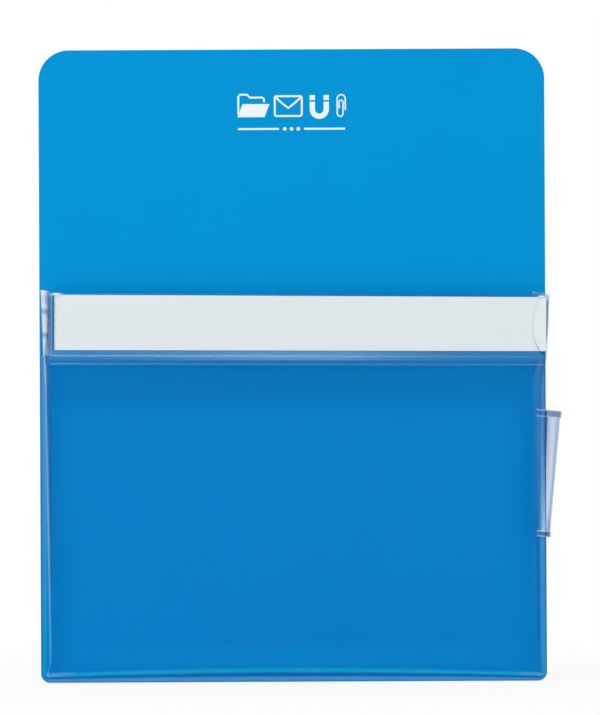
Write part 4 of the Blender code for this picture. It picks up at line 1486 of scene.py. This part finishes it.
@dataclass
class PenSleeve:
    """The tapered clear loop on the right edge, its two ends hemmed."""

    below_band: float = 0.0209
    length: float = 0.0602
    reach: tuple[float, float] = (0.0069, 0.0013)
    depths: tuple[float, float] = (0.0084, 0.0062)
    tab_inset: float = 0.0050
    slant: float = math.radians(5.5)
    rim: tuple[float, float] = (0.0034, 0.0028)
    rim_thickness: float = 0.00025
    rib_relief: float = 0.00008
    line_relief: float = 0.00012
    rib_count: int = 38
    tab_columns: int = 24
    round_columns: int = 150

    @property
    def top_z(self) -> float:
        """Level of the upper end at the tab."""
        return SIZES.mouth_z - SIZES.band_height - self.below_band

    def ring(self, z: Array, panel: FrontPanel) -> tuple[Array, Array, Array, Array]:
        """Middle and radii of the loop's round at a height, clear of the panel's bulge and level with its
        front.

        Args:
            z: Heights.
            panel: The panel that it stands beside.

        Returns:
            Arrays of the middle's x and depth, and of the radii across and in depth.
        """
        share = (self.top_z - z) / self.length
        beside = panel.weld_at(z, 0.0, Side.RIGHT) + panel.bulge_at(z, Side.RIGHT)
        left = beside + SIZES.seat + self.rim_thickness
        right = SIZES.half_width + self.reach[0] + (self.reach[1] - self.reach[0]) * share
        across = self.depths[0] + (self.depths[1] - self.depths[0]) * share
        front = panel.depth_at(z) + SIZES.film + SIZES.seat + 2 * SIZES.film
        return (left + right) / 2, front - across / 2, (right - left) / 2, across / 2

    def levels(self) -> Array:
        """Heights of the rows, close together on the hems and their lines.

        Returns:
            Heights, from the upper end down.
        """
        hem = 1.15 * np.linspace(0, 1, 18)
        upper = self.top_z - self.rim[0] * hem
        lower = self.top_z - self.length + self.rim[1] * hem
        between = np.linspace(upper[-1], lower[-1], 48)[1:-1]
        return np.concatenate([upper, between, lower[::-1]])

    def hems(self, z: Array) -> tuple[Array, Array]:
        """Share of the hem at each height, and height of the lines along both of its edges.

        Args:
            z: Heights.

        Returns:
            The share and the lines, each from 0 to 1.
        """
        inside, lines = 1, 0
        for inwards, width in ((self.top_z - z, self.rim[0]), (z - self.top_z + self.length, self.rim[1])):
            inside = inside * climb(inwards, width - 0.0003, 0.0004)
            lines = lines + hump(inwards, width - 0.0002, 0.00028) + hump(inwards, 0.0002, 0.0003)
        return 1 - inside, np.minimum(lines, 1)

    def look(self, x: Array, z: Array, angle: Array, hem: tuple[Array, Array]) -> Look:
        """Dark hems between pale lines, painted shade round the loop near the sheet's edge and on its right
        turn, and on the tab's side a painted highlight that widens and brightens downwards, beside a painted
        highlight and glow near the tab.

        Args:
            x: Places of the points.
            z: Heights of the points.
            angle: Angle of the points round the loop, a right angle at the front.
            hem: Share of the hem and height of its lines, from 0 to 1.

        Returns:
            The look of each point.
        """
        hemmed, line = hem
        down = np.clip((self.top_z - z) / self.length, 0, 1)
        edge = SIZES.half_width - 0.0006
        on_tab = x < edge
        past = (x - edge) / (self.reach[0] + (self.reach[1] - self.reach[0]) * down)
        over = (angle > 1.3) * (1 - hemmed)
        # Painted highlights: one that drifts out and brightens downwards, and one near the tab that also
        # takes the painted glow.
        streak = hump(x - 0.0006 * down, 0.1177, 0.0004 + 0.0010 * down) * (0.03 + 0.42 * down**2.2)
        lit = hump(x, 0.1164, 0.0012) * over
        frost_and_painted_highlight = 0.004 + (0.090 + 0.10 * on_tab) * line + 0.016 * hemmed
        frost_and_painted_highlight = frost_and_painted_highlight + streak * over + 0.07 * lit * (1 - 0.5 * down)

        # Painted shade round the loop: beside the sheet's edge, on the far turn and at the foot.
        lower = climb(down, 0.5, 0.4)
        near = (0.40 - 0.20 * hump(down, 0.55, 0.35)) * np.clip(1 - past / (0.5 - 0.25 * lower), 0, 1)
        near = near * (1 - 0.75 * climb(down, 0.45, 0.25))
        far = 0.24 * climb(past, 0.64 - 0.2 * lower, 0.25)
        foot = 0.20 * climb(down, 0.8, 0.15)
        shade = np.where(on_tab, 0.0, 0.17 + (np.sin(angle) > 0) * (near + far + foot))
        hem_shade = np.where(on_tab, 0.05, 0.50) * (1 - 0.5 * line) * (0.85 + 0.3 * self.ribs(angle))
        return Look(frost_and_painted_highlight, shade + (hem_shade - shade) * hemmed, 0.8 * lit)

    def ribs(self, angle: Array) -> Array:
        """Fine upright ribs round the loop, from 0 to 1."""
        return 0.5 + 0.5 * np.cos(self.rib_count * angle)

    def build(self, finish: Material, panel: FrontPanel) -> None:
        """The loop: one film that runs along its tab, round an ellipse and back under the tab. Its middle and
        radii change in proportion to the height, and a hem with fine upright ribs thickens each end.

        Args:
            finish: Material of the film.
            panel: The panel that it stands beside.
        """
        z = self.levels()[:, None]
        middle_x, middle_depth, wide, deep = self.ring(z, panel)
        hemmed, line = self.hems(z)
        around = np.linspace(0, 1, self.round_columns)[None, :]
        tab_back = middle_depth + deep - 2 * SIZES.film
        meeting = np.arcsin(np.clip((tab_back - middle_depth) / deep, -1, 1))
        angle = np.pi / 2 + (-1.5 * np.pi - meeting) * around
        swell = (self.rim_thickness + self.rib_relief * self.ribs(angle)) * hemmed
        swell = swell + self.line_relief * line
        round_x = middle_x + (wide + swell) * np.cos(angle)
        round_depth = middle_depth + (deep + swell) * np.sin(angle)
        tab_x = SIZES.half_width - self.tab_inset
        share = np.linspace(0, 1, self.tab_columns + 1)[None, :-1]
        over_x = tab_x + (round_x[:, :1] - tab_x) * share
        over_depth = round_depth[:, :1] + 0 * over_x
        under_x = round_x[:, -1:] + (tab_x - round_x[:, -1:]) * (share + 1 / (self.tab_columns + 1))
        under_depth = tab_back + 0 * under_x
        x = np.concatenate([over_x, round_x, under_x], axis=1)
        depth = np.concatenate([over_depth, round_depth, under_depth], axis=1)
        turned = np.concatenate([0 * over_x + np.pi / 2, angle, 0 * under_x - 1.5 * np.pi], axis=1)
        values = self.look(x, z, turned, (hemmed, line)).fields(0.0, x)
        lean = z - math.tan(self.slant) * (x - tab_x)
        mesh = film_mesh("pen_sleeve_film", SIZES.place(x, depth, lean), SIZES.film, values)
        piece = add_piece(mesh, finish)
        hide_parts("pen_sleeve")


# Magnets


@dataclass
class MagnetStrip:
    """One rubber magnet strip and the tape that holds it."""

    place: str
    z: float
    length: float = 0.200
    width: float = 0.020
    thickness: float = 0.0012
    groove_pitch: float = 0.0016
    groove_depth: float = 0.00006
    rounding: float = 0.00018
    tape_inset: float = 0.0005
    tape_gap: float = 0.00001
    tape_rounding: float = 0.00005

    def outline(self, half: float, back: float, front: float, radius: float, groove: float) -> Array:
        """Section of a strip in y and z: a rounded rectangle whose steel side has shallow lengthwise grooves.

        Args:
            half: Half of its width.
            back: Level of the side on the steel.
            front: Level of the side on the sheet.
            radius: Corner radius.
            groove: Depth of the grooves.

        Returns:
            Points of y and z.
        """
        inner = half - radius
        z = np.linspace(inner, -inner, 61)
        cut = groove * (0.5 - 0.5 * np.cos(2 * np.pi * (z + half) / self.groove_pitch)) ** 3
        steel = np.stack([back - cut, z], axis=1)
        sheet = np.stack([np.full(9, front), np.linspace(-inner, inner, 9)], axis=1)
        near, far = back - radius, front + radius
        places = ((near, -inner), (far, -inner), (far, inner), (near, inner))
        corners = []
        for number, place in enumerate(places):
            turn = -np.linspace(number, number + 1, 5) * np.pi / 2
            corners.append(place + radius * np.stack([np.cos(turn), np.sin(turn)], axis=1))
        down, rise, up, over = corners
        return np.concatenate([steel, down[1:], rise[1:], sheet[1:-1], up[:-1], over[:-1]])

    def sweep(self, name: str, section: Array, half_length: float, radius: float) -> Mesh:
        """A section carried along x, drawn in a little at both ends.

        Args:
            name: Name of the mesh.
            section: Points of y and z.
            half_length: Half of the strip's length.
            radius: Rounding of its ends.

        Returns:
            The mesh.
        """
        turn = np.linspace(0, np.pi / 2, 5)
        run, drawn = radius * (1 - np.cos(turn)), radius * (1 - np.sin(turn))
        x = np.concatenate([run - half_length, half_length - run[::-1]])
        draw = np.concatenate([drawn, drawn[::-1]])
        middle = section.mean(axis=0)
        half = np.abs(section - middle).max(axis=0)
        scale = 1 - draw[:, None, None] / half[None, None, :]
        points = middle + (section - middle)[None, :, :] * scale
        loops = np.concatenate([np.broadcast_to(x[:, None, None], (*points.shape[:2], 1)), points], axis=2)
        loops[..., 2] += self.z
        return swept_mesh(name, loops)

    def build(self, magnet: Material, tape: Material) -> None:
        """The strip and its tape.

        Args:
            magnet: Material of the strip.
            tape: Material of the tape.
        """
        section = self.outline(self.width / 2, 0.0, -self.thickness, self.rounding, self.groove_depth)
        rubber = self.sweep(self.place + "_magnet_rubber", section, self.length / 2, self.rounding)
        strip = add_piece(rubber, magnet)
        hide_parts(self.place + "_magnet")
        back = self.tape_gap - self.thickness
        front = SIZES.front_y + SIZES.thickness - self.tape_gap
        half_width, half_length = self.width / 2 - self.tape_inset, self.length / 2 - self.tape_inset
        section = self.outline(half_width, back, front, self.tape_rounding, 0.0)
        layer = self.sweep(self.place + "_tape_layer", section, half_length, self.tape_rounding)
        band = add_piece(layer, tape)
        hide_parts(self.place + "_tape")


# Studio


@dataclass
class Studio:
    """Floor, world, soft lamps and the camera, which sees the pocket from the front through a long lens."""

    frame_height: float = 0.33956
    distance: float = 2.5
    centre: tuple[float, float] = (0.0035, 0.0038)
    roll: float = math.radians(0.27)
    sensor_width: float = 36.0
    floor_reach: float = 1.2
    floor_gap: float = 0.0003
    ambient: float = 0.645
    key: float = 0.20
    fill: float = 0.10

    def build_floor(self) -> None:
        """A pale floor that looks white to the camera, and round the pocket keeps its shadow."""
        level = SIZES.bottom_z - self.floor_gap
        across = np.array([-1.0, 1.0, 1.0, -1.0]) * self.floor_reach
        along = np.array([-1.0, -1.0, 1.0, 1.0]) * self.floor_reach
        mesh = bpy.data.meshes.new("floor")
        mesh.from_pydata(np.stack([across, along, across * 0 + level], axis=1).tolist(), [], [(0, 1, 2, 3)])
        floor = bpy.data.objects.new("floor", mesh)
        bpy.context.scene.collection.objects.link(floor)
        graph = Graph.material("pale_floor")
        tone = graph.blend(graph.noise(3.0, 3.0, 0.5), (0.86, 0.86, 0.86), (0.89, 0.89, 0.89))
        plain = graph.node("ShaderNodeBsdfDiffuse", {"Color": tone})
        white = graph.node("ShaderNodeEmission", {"Color": (1.0, 1.0, 1.0), "Strength": 1.0})
        reach = graph.node("ShaderNodeVectorMath", {0: graph.coordinates}, operation="LENGTH")
        whitened = graph.between(reach.outputs["Value"], 0.17, 0.40, 0.85, 1.0)
        share = graph.math("MULTIPLY", graph.seen(), whitened)
        mesh.materials.append(graph.finish(graph.mix(share, plain, white)))

    def build_world(self) -> None:
        """White where it is seen, in mirrors and through clear film too, and an even soft light elsewhere."""
        graph = Graph(bpy.data.worlds.new("studio"), "ShaderNodeOutputWorld")
        soft = graph.node("ShaderNodeBackground", {"Color": (0.98, 0.99, 1.0), "Strength": self.ambient})
        white = graph.node("ShaderNodeBackground", {"Color": (1.0, 1.0, 1.0), "Strength": 1.0})
        bpy.context.scene.world = graph.finish(graph.mix(graph.seen(), soft, white))

    def add_lamp(self, name: str, place: Vector, size: tuple[float, float], level: float) -> None:
        """A soft lamp aimed at the pocket.

        Args:
            name: Name of the lamp.
            place: Where it stands.
            size: Its width and height.
            level: How much it adds to a white surface that faces the front, where 1 is white.
        """
        lamp = bpy.data.lights.new(name, "AREA")
        lamp.shape = "RECTANGLE"
        lamp.size, lamp.size_y = size
        towards = -place
        lamp.energy = level * math.pi**2 * towards.length**2 / towards.normalized().y
        holder = bpy.data.objects.new(name, lamp)
        holder.location = place
        holder.rotation_euler = towards.to_track_quat("-Z", "Y").to_euler()
        bpy.context.scene.collection.objects.link(holder)

    def build_camera(self) -> None:
        """The camera: level, square to the sheet, rolled a little, its lens from the frame's height at the
        sheet."""
        data = bpy.data.cameras.new("camera")
        data.sensor_width = self.sensor_width
        data.lens = self.sensor_width * self.distance / self.frame_height
        data.clip_end = 100.0
        camera = bpy.data.objects.new("camera", data)
        turn = Matrix.Rotation(math.pi / 2, 4, "X") @ Matrix.Rotation(-self.roll, 4, "Z")
        camera.matrix_world = Matrix.Translation((self.centre[0], -self.distance, self.centre[1])) @ turn
        bpy.context.scene.collection.objects.link(camera)
        bpy.context.scene.camera = camera

    def build(self) -> None:
        """Floor, world, lamps and camera."""
        scene = bpy.context.scene
        scene.view_settings.view_transform = "Standard"
        scene.cycles.transparent_max_bounces = 24
        self.build_floor()
        self.build_world()
        self.add_lamp("key_lamp", Vector((-0.7, -1.5, 1.9)), (1.8, 1.4), self.key)
        self.add_lamp("left_lamp", Vector((-1.9, -1.7, 0.2)), (1.2, 1.6), self.fill)
        self.add_lamp("right_lamp", Vector((2.0, -1.7, 0.0)), (1.2, 1.6), self.fill * 0.7)
        self.build_camera()


# All of it


def main() -> None:
    """Builds the pocket piece by piece, then the studio."""
    logging.basicConfig(level=logging.INFO, format="%(name)s: %(message)s")
    finishes = build_finishes()
    sheet = BackSheet()
    sheet.build(finishes["sheet"])
    PrintedMarks().build(finishes["ink"])
    panel = FrontPanel()
    panel.build(finishes["film"], sheet)
    sleeve = IndexSleeve()
    for build in (sleeve.build_leaves, sleeve.build_left_wall, sleeve.build_right_wall):
        build(finishes["sleeve"])
    sleeve.build_card(finishes["card"])
    PenSleeve().build(finishes["pen"], panel)
    for place, z in (("top", 0.132), ("middle", 0.0), ("bottom", -0.132)):
        MagnetStrip(place, z).build(finishes["magnet"], finishes["tape"])
    Studio().build()


if __name__ == "__main__":
    main()
